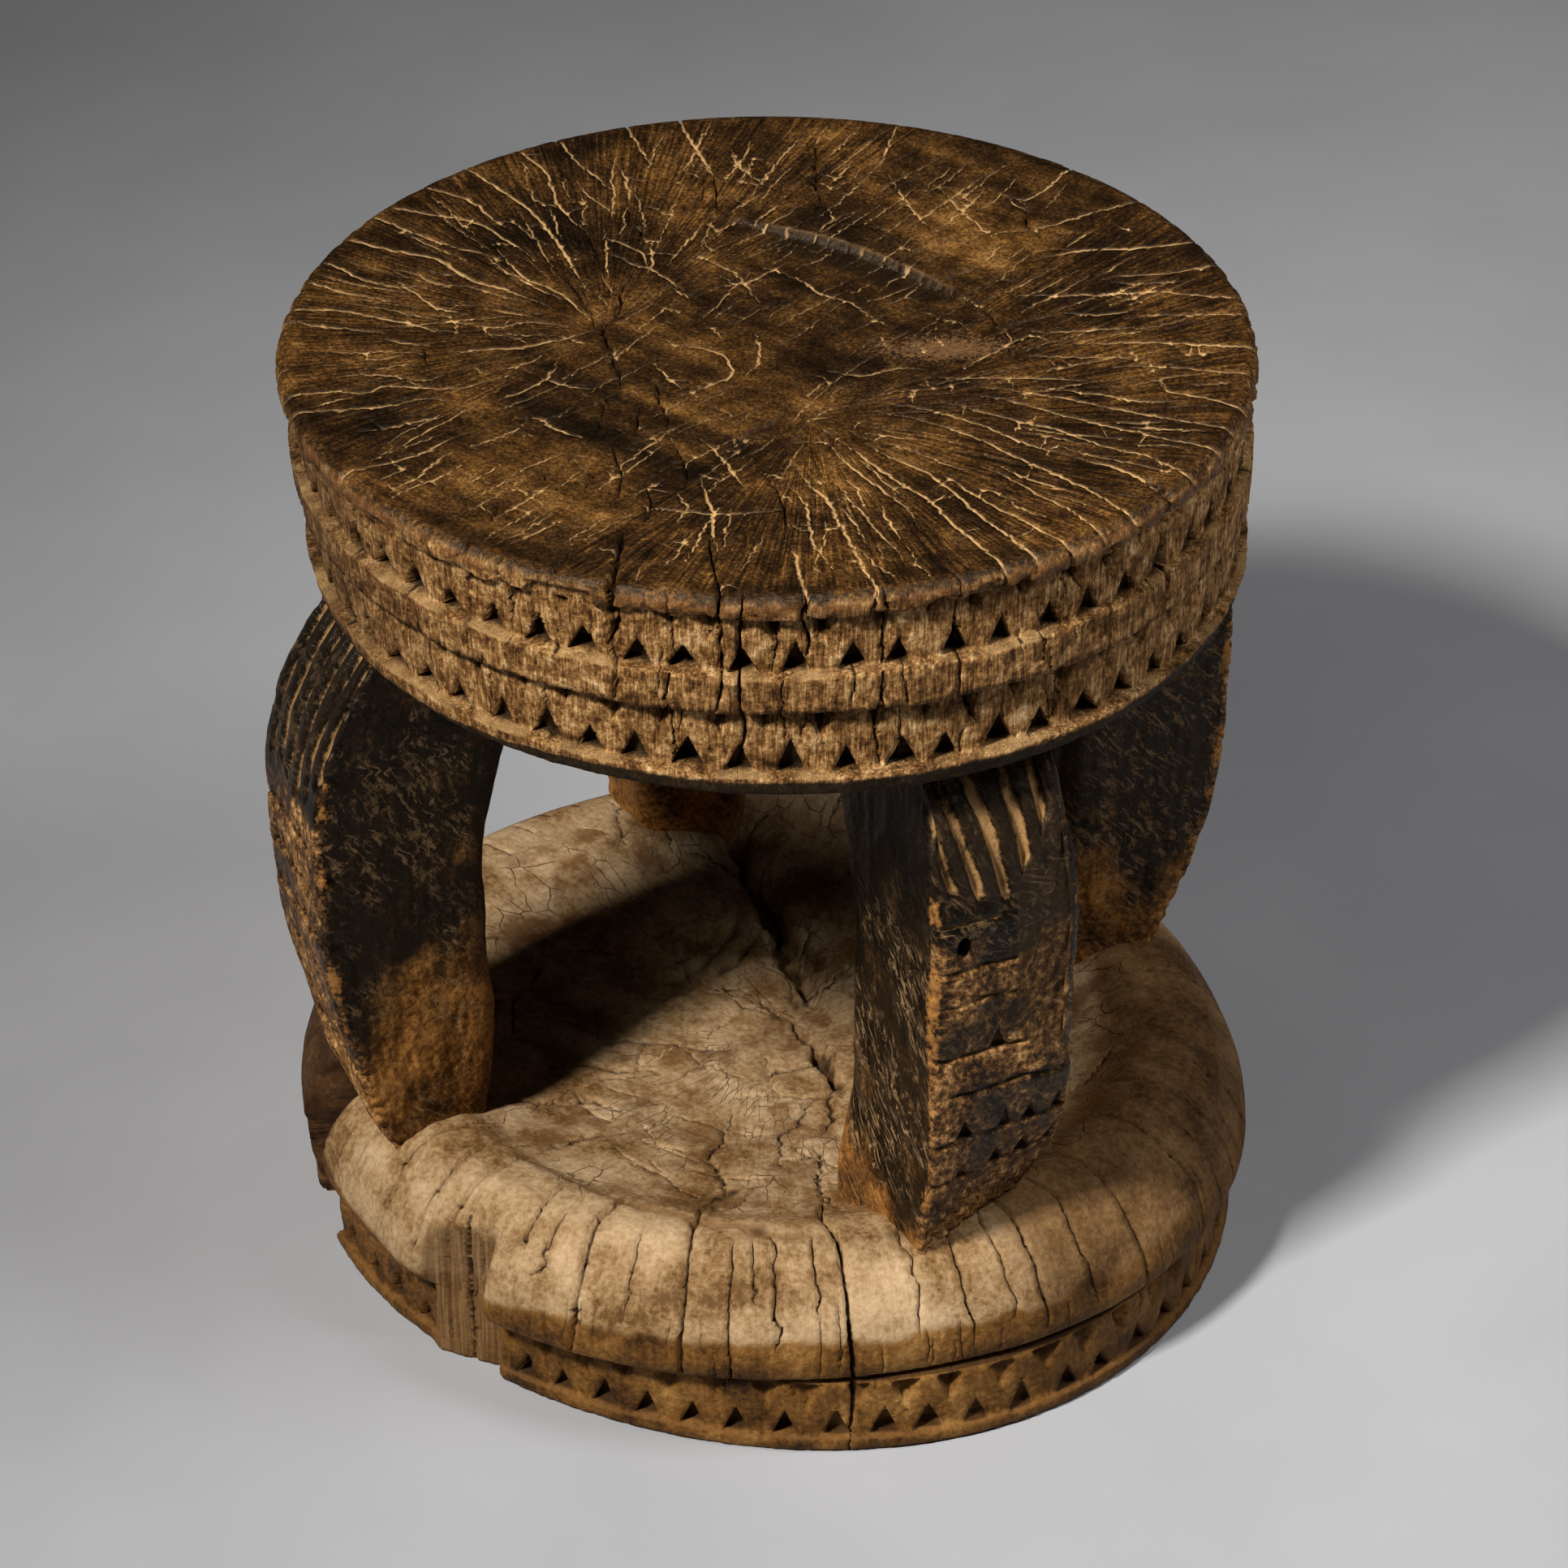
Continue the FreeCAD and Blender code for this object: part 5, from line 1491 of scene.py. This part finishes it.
def rounded(corners, cuts, edge_counts, corner_count):
    """Points round four-cornered sections, each (rows, 2), and each column's edge number, -1 at a corner."""
    total = len(corners)
    before, after = [], []
    for i in range(total):
        c, p, q = corners[i], corners[i - 1], corners[(i + 1) % total]
        before.append(c + (p - c) / np.linalg.norm(p - c, axis=1, keepdims=True) * cuts[i])
        after.append(c + (q - c) / np.linalg.norm(q - c, axis=1, keepdims=True) * cuts[i])
    columns, edge = [], []
    for i in range(total):
        for t in np.linspace(0, 1, corner_count, endpoint=False):
            columns.append((1 - t) ** 2 * before[i] + 2 * t * (1 - t) * corners[i] + t * t * after[i])
            edge.append(-1)
        following = before[(i + 1) % total]
        for t in np.linspace(0, 1, edge_counts[i], endpoint=False):
            columns.append(after[i] * (1 - t) + following * t)
            edge.append(i)
    return np.stack(columns, 1), np.array(edge)


def line_levels(node):
    """The heights of a leg's scored lines."""
    return FRONT_LEVELS if node == "leg_front" else LINE_LEVELS


def pit_offsets(node, number, level):
    """Where pits stand across a scored line."""
    if node == "leg_front" and number == 3:
        return FRONT_PIT_OFFSETS
    if node == "leg_left" and level > 110:
        return LEFT_PIT_OFFSETS
    return PIT_OFFSETS if number > 4 else ()


def leg_flutes(leg, y, z, face, plain, noises):
    """Wide scoops with narrow crests between, staggered at their lower ends: scoop, crest and dust."""
    n1, n2 = noises[:2]
    crests, ends = leg.crests, leg.ends
    sway = y + leg.turn * (z - 150) * smooth(16, -12, y) + 0.5 * n1(z / 22, 0.3, 0.0, 2)
    order = np.clip(np.searchsorted(crests, sway) - 1, 0, len(crests) - 2)
    low, high = np.array(crests)[order], np.array(crests)[order + 1]
    share = np.clip((sway - low) / (high - low), 0, 1)
    end = ends[0] + (ends[1] - ends[0]) * order / (len(crests) - 2)
    end = end + 5 * (Noise(leg.seed + 60)(order * 1.7, 0.5, 0.5))
    fade = smooth(end, end + 7, z) * smooth(192, 186, z) * (sway > crests[0]) * (sway < crests[-1]) * face
    hollow = smooth(0.14, 0.42, share) * smooth(0.86, 0.58, share)
    scoop = hollow * fade * (1 - 0.85 * plain)
    crest = fade * (1 - hollow) * (1 - plain)
    dust = scoop * (0.65 + 0.5 * smooth(end + 26, end + 2, z)) * (0.85 + 0.5 * n2(y / 5, z / 12, 1.0, 2))
    return scoop, crest, dust


def leg_lines(node, y, z, face, plain, noises):
    """Scored lines, the pits that stand on some of them, and the lines' lower edges where a highlight is
    painted.
    """
    n2, n3 = noises[1:]
    rng = np.random.default_rng(LEGS[node].seed)
    line, pit, lit = 0 * z, 0 * z, 0 * z
    for k, level in enumerate(line_levels(node)):
        wave = level + 0.8 * n3(y / 9, k * 3.1, 0.0, 2) + 0.05 * y
        broken = np.clip(0.65 + 0.75 * n2(y / 6, k * 1.3, 0.0), 0.25, 1) * (1 - plain)
        across = face * smooth(18.5, 16, np.abs(y)) * broken
        above = z - wave
        line = np.maximum(line, smooth(0.95, 0.15, np.abs(above)) * across)
        lit = np.maximum(lit, bump(above, -1.5, 0.55) * across * smooth(4, -8, y))
        for offset in pit_offsets(node, k, level):
            middle = offset + rng.uniform(-0.8, 0.8)
            half, high = rng.uniform(2.0, 2.8), rng.uniform(4.4, 6.2)
            room = np.minimum(half * np.clip(1 - above / high, -1, 1) - np.abs(y - middle), above + 0.3)
            share = smooth(-0.05, 0.55, room) * face * rng.uniform(0.6, 1.0) * (above > -0.5)
            pit = np.maximum(pit, share)
    return line, pit, lit


def leg_carving(node, y, z, face):
    """Depth of the carving on a leg's outer face, with the masks that colour it."""
    leg = LEGS[node]
    noises = [Noise(leg.seed + step) for step in (30, 40, 50)]
    n1, n2 = noises[:2]
    facet, hole = 0 * z, 0 * z
    if node == "leg_front":
        start = curve(FACET, z) + 0.7 * n1(z / 9, 2.0, 0.0, 2)
        facet = np.clip((y - start) / 9.0, 0, 1.2) * face
        hole = smooth(1.15, 0.75, np.hypot((y + 10.0) / 1.7, (z - 141.5) / 2.8)) * face
    plain = smooth(0.0, 0.06, facet)
    scoop, crest, dust = leg_flutes(leg, y, z, face, plain, noises)
    line, pit, lit = leg_lines(node, y, z, face, plain, noises)

    # Diagonal tool strokes on the undercut
    slant = np.abs(((y + (z - 60) * 0.85 + 1.2 * n1(y / 8, z / 8, 0.0)) / 4.6) % 1.0 - 0.5) * 2
    stroke = slant ** 2 * face * smooth(70, 66, z)
    depth = 2.2 * facet + 0.25 * plain * n2(y / 3, z / 9, 0.0, 2) + 2.2 * scoop
    depth = depth + 1.2 * line + 2.2 * pit + 0.9 * stroke + 4.5 * hole

    # The left leg's pits have filled with dust, the others' are dark
    pit_dust, pit_dark = (0.9, 0.35) if node == "leg_left" else (0.15, 0.9)
    dust = dust + pit_dust * pit + 0.3 * line
    # On the front leg the lower edges of the scored lines get a painted highlight in the dust colour
    if node == "leg_front":
        dust = dust + line * bump(z, 148.5, 3) * smooth(1, -2, y) + 0.8 * lit
    dark = pit_dark * pit + 0.85 * line + hole + 0.3 * stroke
    return depth, {"dust": np.clip(dust, 0, 1), "dark": np.clip(dark, 0, 1), "ridge": np.clip(crest, 0, 1),
                   "facet": plain * face}


# Radii of a leg's outer and inner faces, how far its left arris stands out, and half widths, by row
LegForm = namedtuple("LegForm", "outer inner arris half_right half_left")


def leg_form(node):
    """A leg's measures by row, and the four corners of its sections."""
    leg, z = LEGS[node], LEG_ROWS
    front = node == "leg_front"
    outer = curve([(h, o) for h, o, i in LEG_FORM], z) + leg.outer_shift + leg.foot_bulge * smooth(82, 50, z)
    inner = curve([(h, i) for h, o, i in LEG_FORM], z) + leg.inner_shift
    half_out = 17.4 + 1.6 * smooth(190, 150, z) + 0.6 * smooth(110, 60, z)
    half_in = 15.0 - 1.5 * smooth(110, 50, z)
    arris = curve(FRONT_ARRIS, z) if front else 0 * z
    flare = 7.0 * smooth(80, 44, z) if front else 0 * z
    half_left = half_out - (2.0 + 1.5 * smooth(80, 50, z) if front else 0)
    corners = [np.stack([outer, half_out], -1), np.stack([inner, half_in], -1),
               np.stack([inner, -half_in - flare], -1), np.stack([outer + arris, -half_left], -1)]
    return LegForm(*(values[:, None] for values in (outer, inner, arris, half_out, half_left))), corners


def outward(section, form):
    """Directions out of the sections."""
    tangent = np.roll(section, -1, 1) - np.roll(section, 1, 1)
    normal = np.stack([-tangent[..., 1], tangent[..., 0]], -1)
    normal = normal / np.linalg.norm(normal, axis=-1, keepdims=True)
    middle = np.stack([(form.outer + form.inner) / 2, 0 * form.outer], -1)
    return normal * np.sign(((section - middle) * normal).sum(-1).mean())


def leg_relief(node, form, section, edge, z):
    """Depth of everything cut into or worn off a leg, and its masks."""
    seed = LEGS[node].seed
    n1, n2, n3 = [Noise(seed + step) for step in (0, 10, 20)]
    rho, y = section[..., 0], section[..., 1]
    on_corner = (edge == -1)[None] & (rho > form.outer + np.minimum(form.arris, 0) - 3)
    face = ((edge == OUTER_FACE)[None] | on_corner) & (rho > (form.outer + form.inner) / 2)
    face = face.astype(float)
    depth, masks = leg_carving(node, y, z, face)
    depth = depth + 0.5 * n1(rho / 15, y / 15, z / 22, 3) + 0.14 * n2(rho / 2.5, y / 2.5, z / 6, 2)
    flank = np.isin(edge, FLANKS)[None] + 0 * z
    torn = 0.35 * smooth(0.1, 0.6, n3(rho / 6, z / 16, y / 30, 2)) + 0.12 * n2(rho / 1.6, z / 14, 3.0)
    depth = depth + flank * torn

    # Small chips along the outer arrises
    edge_r = form.outer + form.arris * (y < 0)
    half = np.where(y < 0, form.half_left, form.half_right)
    sharp = smooth(2.8, 0.5, np.abs(np.abs(y) - half)) * smooth(6, 1.5, edge_r - rho) * (1 - masks["facet"])
    chips = smooth(0.15, 0.6, n3(y / 3, z / 3.4, 0.5, 2)) * sharp
    depth = depth + (1.1 if node == "leg_left" else 0.7) * chips

    top_brown, full_brown = BROWN[node]
    brown = smooth(top_brown, full_brown, z + 12 * n1(rho / 18, y / 18, 0.0, 2))
    inner_side = smooth(0.62, 0.2, (rho - form.inner) / (form.outer - form.inner))
    wear = sharp * (0.55 + 1.0 * n2(z / 14, y / 9, 1.0, 2)) * smooth(170, 150, z)
    # The back leg is lightened to worn colour all over: painted light on a leg that stands in the seat's
    # shadow
    masks["wear"] = np.clip(wear + (0.6 if node == "leg_back" else 0.0), 0, 1)
    masks["brown"] = np.clip(brown + 0.3 * inner_side, 0, 1)
    layer = Noise(seed + 70)(np.searchsorted(line_levels(node)[::-1], z) * 1.37, y / 22, 0.4)
    masks["face"] = face * smooth(152, 140, z) * np.clip(0.85 + 0.35 * layer, 0.3, 1)
    masks["scored"] = flank * (smooth(158, 118, z) if node == "leg_front" else 0.45) + 0.3 * (1 - flank)
    return depth, masks


def make_leg(node, material):
    leg = LEGS[node]
    form, corners = leg_form(node)
    section, edge = rounded(corners, CORNER_CUTS, EDGE_POINTS, CORNER_POINTS)
    rows, cols = section.shape[:2]
    z = LEG_ROWS[:, None] + 0 * section[..., 0]
    depth, masks = leg_relief(node, form, section, edge, z)
    section = section - depth[..., None] * outward(section, form)

    c, s = heading_of(math.radians(leg.azimuth))
    rho, y = section[..., 0], section[..., 1]
    grid = np.stack([rho * c - y * s, rho * s + y * c, z], -1)
    steps = np.linalg.norm(np.diff(section, axis=1), axis=-1)
    around = np.cumsum(np.concatenate([np.zeros((rows, 1)), steps], 1), 1)
    grain = np.stack([around, 0 * around + leg.seed * 7.0, z], -1)
    points = np.concatenate([grid.reshape(-1, 3), [grid[0].mean(0)], [grid[-1].mean(0)]])
    masks = {key: np.concatenate([value.ravel(), [0.0, 0.0]]) for key, value in masks.items()}
    grain = np.concatenate([grain.reshape(-1, 3), grain[0, :1], grain[-1, :1]])
    quads = ring_quads(rows, cols)
    low_cap = fan(0, cols, len(points) - 2, True)
    tris = np.concatenate([low_cap, fan((rows - 1) * cols, cols, len(points) - 1)])

    # Columns run the other way round the section, so faces turn with them
    p, q, r = points[quads[0, 0]], points[quads[0, 1]], points[quads[0, 3]]
    if np.dot(np.cross(q - p, r - p), p - points[:-2].mean(0)) < 0:
        quads, tris = quads[:, ::-1], tris[:, ::-1]
    make_piece(node, points, quads, tris, masks, grain, material)


# The three woods

def seat_top_colour(s, zone, blotch):
    """Dark oiled patina with a fine speckle, golden where rubbed, a weak streak along the rays, and painted
    shade on the facet below the step.
    """
    speck = s.noise(s.place(0.9), 3, 0.7)
    streak = s.noise(s.grain(0.85, 0.06), 4, 0.65)
    tone = s.weighted((blotch, 0.22), (streak, 0.3), (zone, 0.22), (speck, 0.26))
    top = s.ramp(tone, [(0.41, (10, 5, 1)), (0.46, (26, 14, 4)), (0.505, (46, 28, 10)), (0.555, (82, 54, 22)),
                        (0.63, (140, 100, 52))])
    # Painted shade on the facet below the crescent step
    facet = s.broken(s.mask("stain_and_shade"), blotch, 0.6, 0.25, 0.75)
    top = s.over(top, facet, 0.75, (22, 12, 5))
    scuff = s.broken(s.mask("scuff"), speck, 1.6, 0.55, 1.0)
    return s.over(top, scuff, 0.5, (122, 88, 56))


def seat_side_colour(s, fibre, flake, fine, blotch):
    """Weathered fibres, flaked pale where dry, dark between."""
    tone = s.weighted((blotch, 0.22), (s.mask("pale"), 0.02), (fibre, 0.32), (flake, 0.32), (fine, 0.14))
    flank = s.ramp(tone, [(0.41, (34, 17, 5)), (0.46, (84, 53, 23)), (0.51, (135, 94, 50)),
                          (0.56, (188, 146, 94)), (0.63, (236, 206, 160))])
    return s.over(flank, s.mask("shade"), 0.6, (44, 26, 10))


def seat_material():
    s = Shader("seat_wood")
    side = s.mask("side")
    zone = s.noise(s.place(34), 2)
    blotch = s.noise(s.place(9), 5, 0.68)
    fine = s.noise(s.place(1.5), 4, 0.65)
    fibre = s.noise(s.grain(1.5, 0.17), 5, 0.68)
    flake = s.noise(s.place(3.2), 5, 0.75)
    colour = s.mix(side, seat_top_colour(s, zone, blotch), seat_side_colour(s, fibre, flake, fine, blotch))
    wear = s.broken(s.mask("wear"), flake, 1.3, 0.4, 0.8)
    colour = s.over(colour, wear, 0.6, (88, 53, 22))
    patchy = s.span(s.noise(s.place(5), 3), 0.34, 0.56, 0.55, 1.0)
    dust = s.times(s.span(s.mask("dust"), 0.05, 0.6), patchy)
    colour = s.over(colour, dust, 0.95, (174, 138, 90))
    dark = s.broken(s.mask("dark"), fine, 0.4, 0.3, 0.65)
    colour = s.over(colour, dark, 0.9, (14, 6, 1))
    gloss = s.math("MULTIPLY_ADD", blotch, 0.4, 0.24)
    rough = s.math("MULTIPLY_ADD", wear, -0.34, s.math("MULTIPLY_ADD", side, 0.32, gloss))
    rough = s.math("MULTIPLY_ADD", dust, 0.3, rough, clamp=True)
    fine_height = s.times(fine, 0.45)
    height = s.math("MULTIPLY_ADD", s.math("ADD", fibre, flake), s.times(side, 0.8), fine_height)
    height = s.math("MULTIPLY_ADD", blotch, 0.4, height)
    return s.finish(colour, rough, height, 1.1, 0.22)


def leg_scratches(s, face):
    """Fine slanting scratches and specks, in patches away from the worn face."""
    thin = s.slanted((0, 1, 0), 0.6, (0.8, 0.2, 0.2))
    scratch = s.span(s.noise(thin, 5, 0.72), 0.52, 0.6)
    speck = s.span(s.noise(s.place(3.4), 5, 0.72), 0.56, 0.63)
    patch = s.times(s.span(s.noise(s.place(26), 4, 0.65), 0.4, 0.56), s.span(face, 0.7, 0.1))
    return s.times(s.math("MAXIMUM", scratch, speck), s.times(patch, s.mask("scored")))


def leg_material():
    s = Shader("leg_wood")
    fine = s.noise(s.place(1.5), 4, 0.65)
    blotch = s.noise(s.place(15), 5, 0.66)
    fibre = s.noise(s.grain(0.7, 0.06), 5, 0.65)
    tone = s.weighted((fibre, 0.22), (blotch, 0.46), (fine, 0.32))
    black = s.ramp(tone, [(0.42, (4, 2, 1)), (0.5, (12, 7, 3)), (0.57, (34, 21, 9)), (0.65, (92, 60, 28))])
    brown = s.ramp(tone, [(0.4, (40, 23, 8)), (0.47, (98, 62, 25)), (0.54, (144, 97, 46)),
                          (0.62, (184, 132, 72)), (0.7, (212, 164, 102))])
    lower = s.broken(s.mask("brown"), blotch, 1.1, 0.3, 0.8)
    colour = s.mix(lower, black, brown)
    face = s.broken(s.mask("face"), blotch, 2.4, 0.3, 0.95)
    flecked = s.weighted((s.noise(s.place(3.0), 5, 0.75), 0.4), (tone, 0.6))
    worn = s.ramp(flecked, [(0.43, (28, 16, 7)), (0.48, (72, 46, 24)), (0.53, (118, 83, 46)),
                            (0.58, (172, 128, 78)), (0.64, (216, 174, 118))])
    colour = s.over(colour, face, 0.9, worn)
    facet = s.broken(s.mask("facet"), fibre, 0.6, 0.3, 0.7)
    colour = s.over(colour, facet, 0.5, (48, 35, 22))
    scratch = leg_scratches(s, face)
    colour = s.over(colour, scratch, 0.75, (158, 124, 86))
    ridge = s.mask("ridge")
    colour = s.over(colour, ridge, 0.6, (34, 27, 20))
    wear = s.broken(s.mask("wear"), fine, 1.9, 0.45, 0.95)
    colour = s.over(colour, wear, 0.75, (156, 106, 52))
    dust = s.broken(s.mask("dust"), fine, 0.8, 0.35, 0.75)
    colour = s.over(colour, dust, 0.85, (158, 120, 76))
    dark = s.broken(s.mask("dark"), fine, 0.5, 0.3, 0.7)
    colour = s.over(colour, dark, 0.85, (18, 8, 2))
    rough = s.math("MULTIPLY_ADD", lower, 0.25, s.math("MULTIPLY_ADD", blotch, 0.4, 0.16))
    rough = s.math("MULTIPLY_ADD", s.math("ADD", face, facet), 0.22, rough)
    rough = s.math("MULTIPLY_ADD", ridge, -0.12, rough)
    rough = s.math("MULTIPLY_ADD", dust, 0.4, rough, clamp=True)
    height = s.weighted((fibre, 0.3), (blotch, 0.5), (fine, 0.5))
    height = s.math("SUBTRACT", height, s.times(scratch, 0.3))
    return s.finish(colour, rough, height, 0.8, 0.18)


def base_woods(s, tone, fine, blotch):
    """The base's pale wood, brown band, dark lump, tanned stretch and split flute."""
    pale = s.ramp(tone, [(0.39, (92, 64, 33)), (0.45, (130, 99, 63)), (0.51, (155, 126, 90)),
                         (0.62, (186, 157, 121))])
    band = s.ramp(tone, [(0.39, (44, 25, 8)), (0.47, (88, 57, 23)), (0.54, (118, 80, 36)),
                         (0.65, (160, 120, 68))])
    low = s.broken(s.mask("band"), fine, 1.5, 0.2, 0.8)
    colour = s.mix(low, pale, band)
    lobe = s.broken(s.mask("lobe"), blotch, 1.0, 0.15, 0.5)
    lobe_wood = s.ramp(tone, [(0.4, (30, 16, 6)), (0.52, (62, 39, 19)), (0.66, (96, 67, 38))])
    colour = s.mix(lobe, colour, lobe_wood)
    tan = s.broken(s.mask("tan"), blotch, 0.8, 0.3, 0.8)
    tan_wood = s.ramp(tone, [(0.4, (46, 27, 8)), (0.5, (80, 52, 21)), (0.62, (114, 80, 40))])
    colour = s.over(colour, tan, 0.85, tan_wood)
    streak = s.noise(s.grain(1.7, 0.04), 5, 0.65)
    split_wood = s.ramp(streak, [(0.34, (76, 50, 25)), (0.5, (106, 77, 46)), (0.66, (140, 109, 74))])
    return s.over(colour, s.broken(s.mask("flute"), fine, 0.9, 0.3, 0.7), 0.7, split_wood)


def base_material():
    s = Shader("base_wood")
    fine = s.noise(s.place(1.4), 5, 0.65)
    blotch = s.noise(s.place(20), 5, 0.66)
    fibre = s.noise(s.grain(0.7, 0.07), 5, 0.65)
    tone = s.weighted((fibre, 0.1), (blotch, 0.6), (fine, 0.3))
    colour = base_woods(s, tone, fine, blotch)
    hollow = s.mask("hollow")
    stained = s.times(s.span(s.noise(s.place(12), 5, 0.7), 0.45, 0.63), hollow)
    colour = s.over(colour, stained, 0.7, (92, 57, 23))

    # Slanting scratches of the tool across the shoulder, and hair cracks in the hollow
    thin = s.slanted((0.3, 0.3, 0.9), 0.7, (1.2, 0.12, 0.12))
    patchy = s.span(s.noise(s.place(30), 2), 0.42, 0.6)
    scratch = s.times(s.span(s.noise(thin, 3, 0.5), 0.6, 0.72), patchy)
    colour = s.over(colour, scratch, 0.45, (104, 74, 44))
    net = s.bend(s.grain(0.10, 0.09), s.place(8), 0.5)
    patchy = s.span(s.noise(s.place(20), 2), 0.5, 0.62)
    hair = s.times(s.span(s.edges(net), 0.025, 0.0), s.times(hollow, patchy))
    colour = s.over(colour, hair, 0.5, (62, 38, 17))

    edge = s.broken(s.mask("edge"), fine, 0.8, 0.4, 0.8)
    colour = s.over(colour, edge, 0.5, (112, 76, 38))
    dust = s.span(s.mask("dust"), 0.2, 0.7)
    colour = s.over(colour, dust, 0.6, (190, 160, 120))
    dark = s.broken(s.mask("dark"), fine, 0.4, 0.3, 0.7)
    colour = s.over(colour, dark, 0.8, (36, 18, 5))
    crack = s.span(s.mask("crack"), 0.2, 0.7)
    colour = s.over(colour, crack, 0.85, (32, 16, 5))
    rough = s.math("MULTIPLY_ADD", blotch, 0.25, 0.58)
    rough = s.math("MULTIPLY_ADD", s.mask("polish"), -0.3, rough, clamp=True)
    height = s.weighted((fibre, 0.4), (blotch, 0.5), (fine, 0.5))
    height = s.math("SUBTRACT", height, s.times(hair, 0.6))
    return s.finish(colour, rough, height, 0.7, 0.18)


def floor_material():
    s = Shader("floor_paper")
    tone = s.noise(s.place(120), 3)
    fine = s.noise(s.place(2), 3)
    colour = s.ramp(tone, [(0.35, (155, 155, 157)), (0.65, (161, 161, 163))])
    return s.finish(colour, 0.9, fine, 0.05, 0.1, (1.0, 1.0, 1.0, 1.0))


# Stage, camera and light

def make_floor():
    mesh = bpy.data.meshes.new("floor")
    mesh.from_pydata([(-6, -6, 0), (6, -6, 0), (6, 6, 0), (-6, 6, 0)], [], [(0, 1, 2, 3)])
    mesh.materials.append(floor_material())
    floor = bpy.data.objects.new("floor", mesh)
    bpy.context.collection.objects.link(floor)


def make_camera():
    data = bpy.data.cameras.new("camera")
    data.sensor_width = 36.0
    data.lens = 110.2
    data.clip_end = 50.0
    camera = bpy.data.objects.new("camera", data)
    camera.location = (0.0, -0.9772, 0.794)
    camera.rotation_euler = (math.radians(90 - 34.81), 0.0, math.radians(-0.222))
    bpy.context.collection.objects.link(camera)
    bpy.context.scene.camera = camera


def make_lamp(name, place, aim, size, spread, power, tint):
    data = bpy.data.lights.new(name, "AREA")
    data.shape = "SQUARE"
    data.size = size
    data.spread = math.radians(spread)
    data.energy = power
    data.color = tint
    lamp = bpy.data.objects.new(name, data)
    lamp.location = place
    toward = (Vector(aim) - Vector(place)).normalized()
    lamp.rotation_euler = toward.to_track_quat("-Z", "Y").to_euler()
    bpy.context.collection.objects.link(lamp)


def make_world():
    world = bpy.data.worlds.new("studio")
    world.use_nodes = True
    world.node_tree.nodes["Background"].inputs["Color"].default_value = (0.019, 0.019, 0.0194, 1.0)
    world.node_tree.nodes["Background"].inputs["Strength"].default_value = 1.0
    bpy.context.scene.world = world


make_seat(seat_material())
leg_wood = leg_material()
for node in LEGS:
    make_leg(node, leg_wood)
make_base(base_material())
make_floor()
make_camera()
make_lamp("key", (-0.653, -0.719, 1.279), (0.42, 0.04, 0.0), 0.18, 70.0, 6.55, (1.0, 0.98, 0.95))
make_lamp("fill", (1.0, -0.27, 1.47), (0.15, -0.05, 0.0), 0.6, 110.0, 5.2, (0.98, 0.985, 1.0))
make_world()
bpy.context.scene.view_settings.view_transform = "Standard"
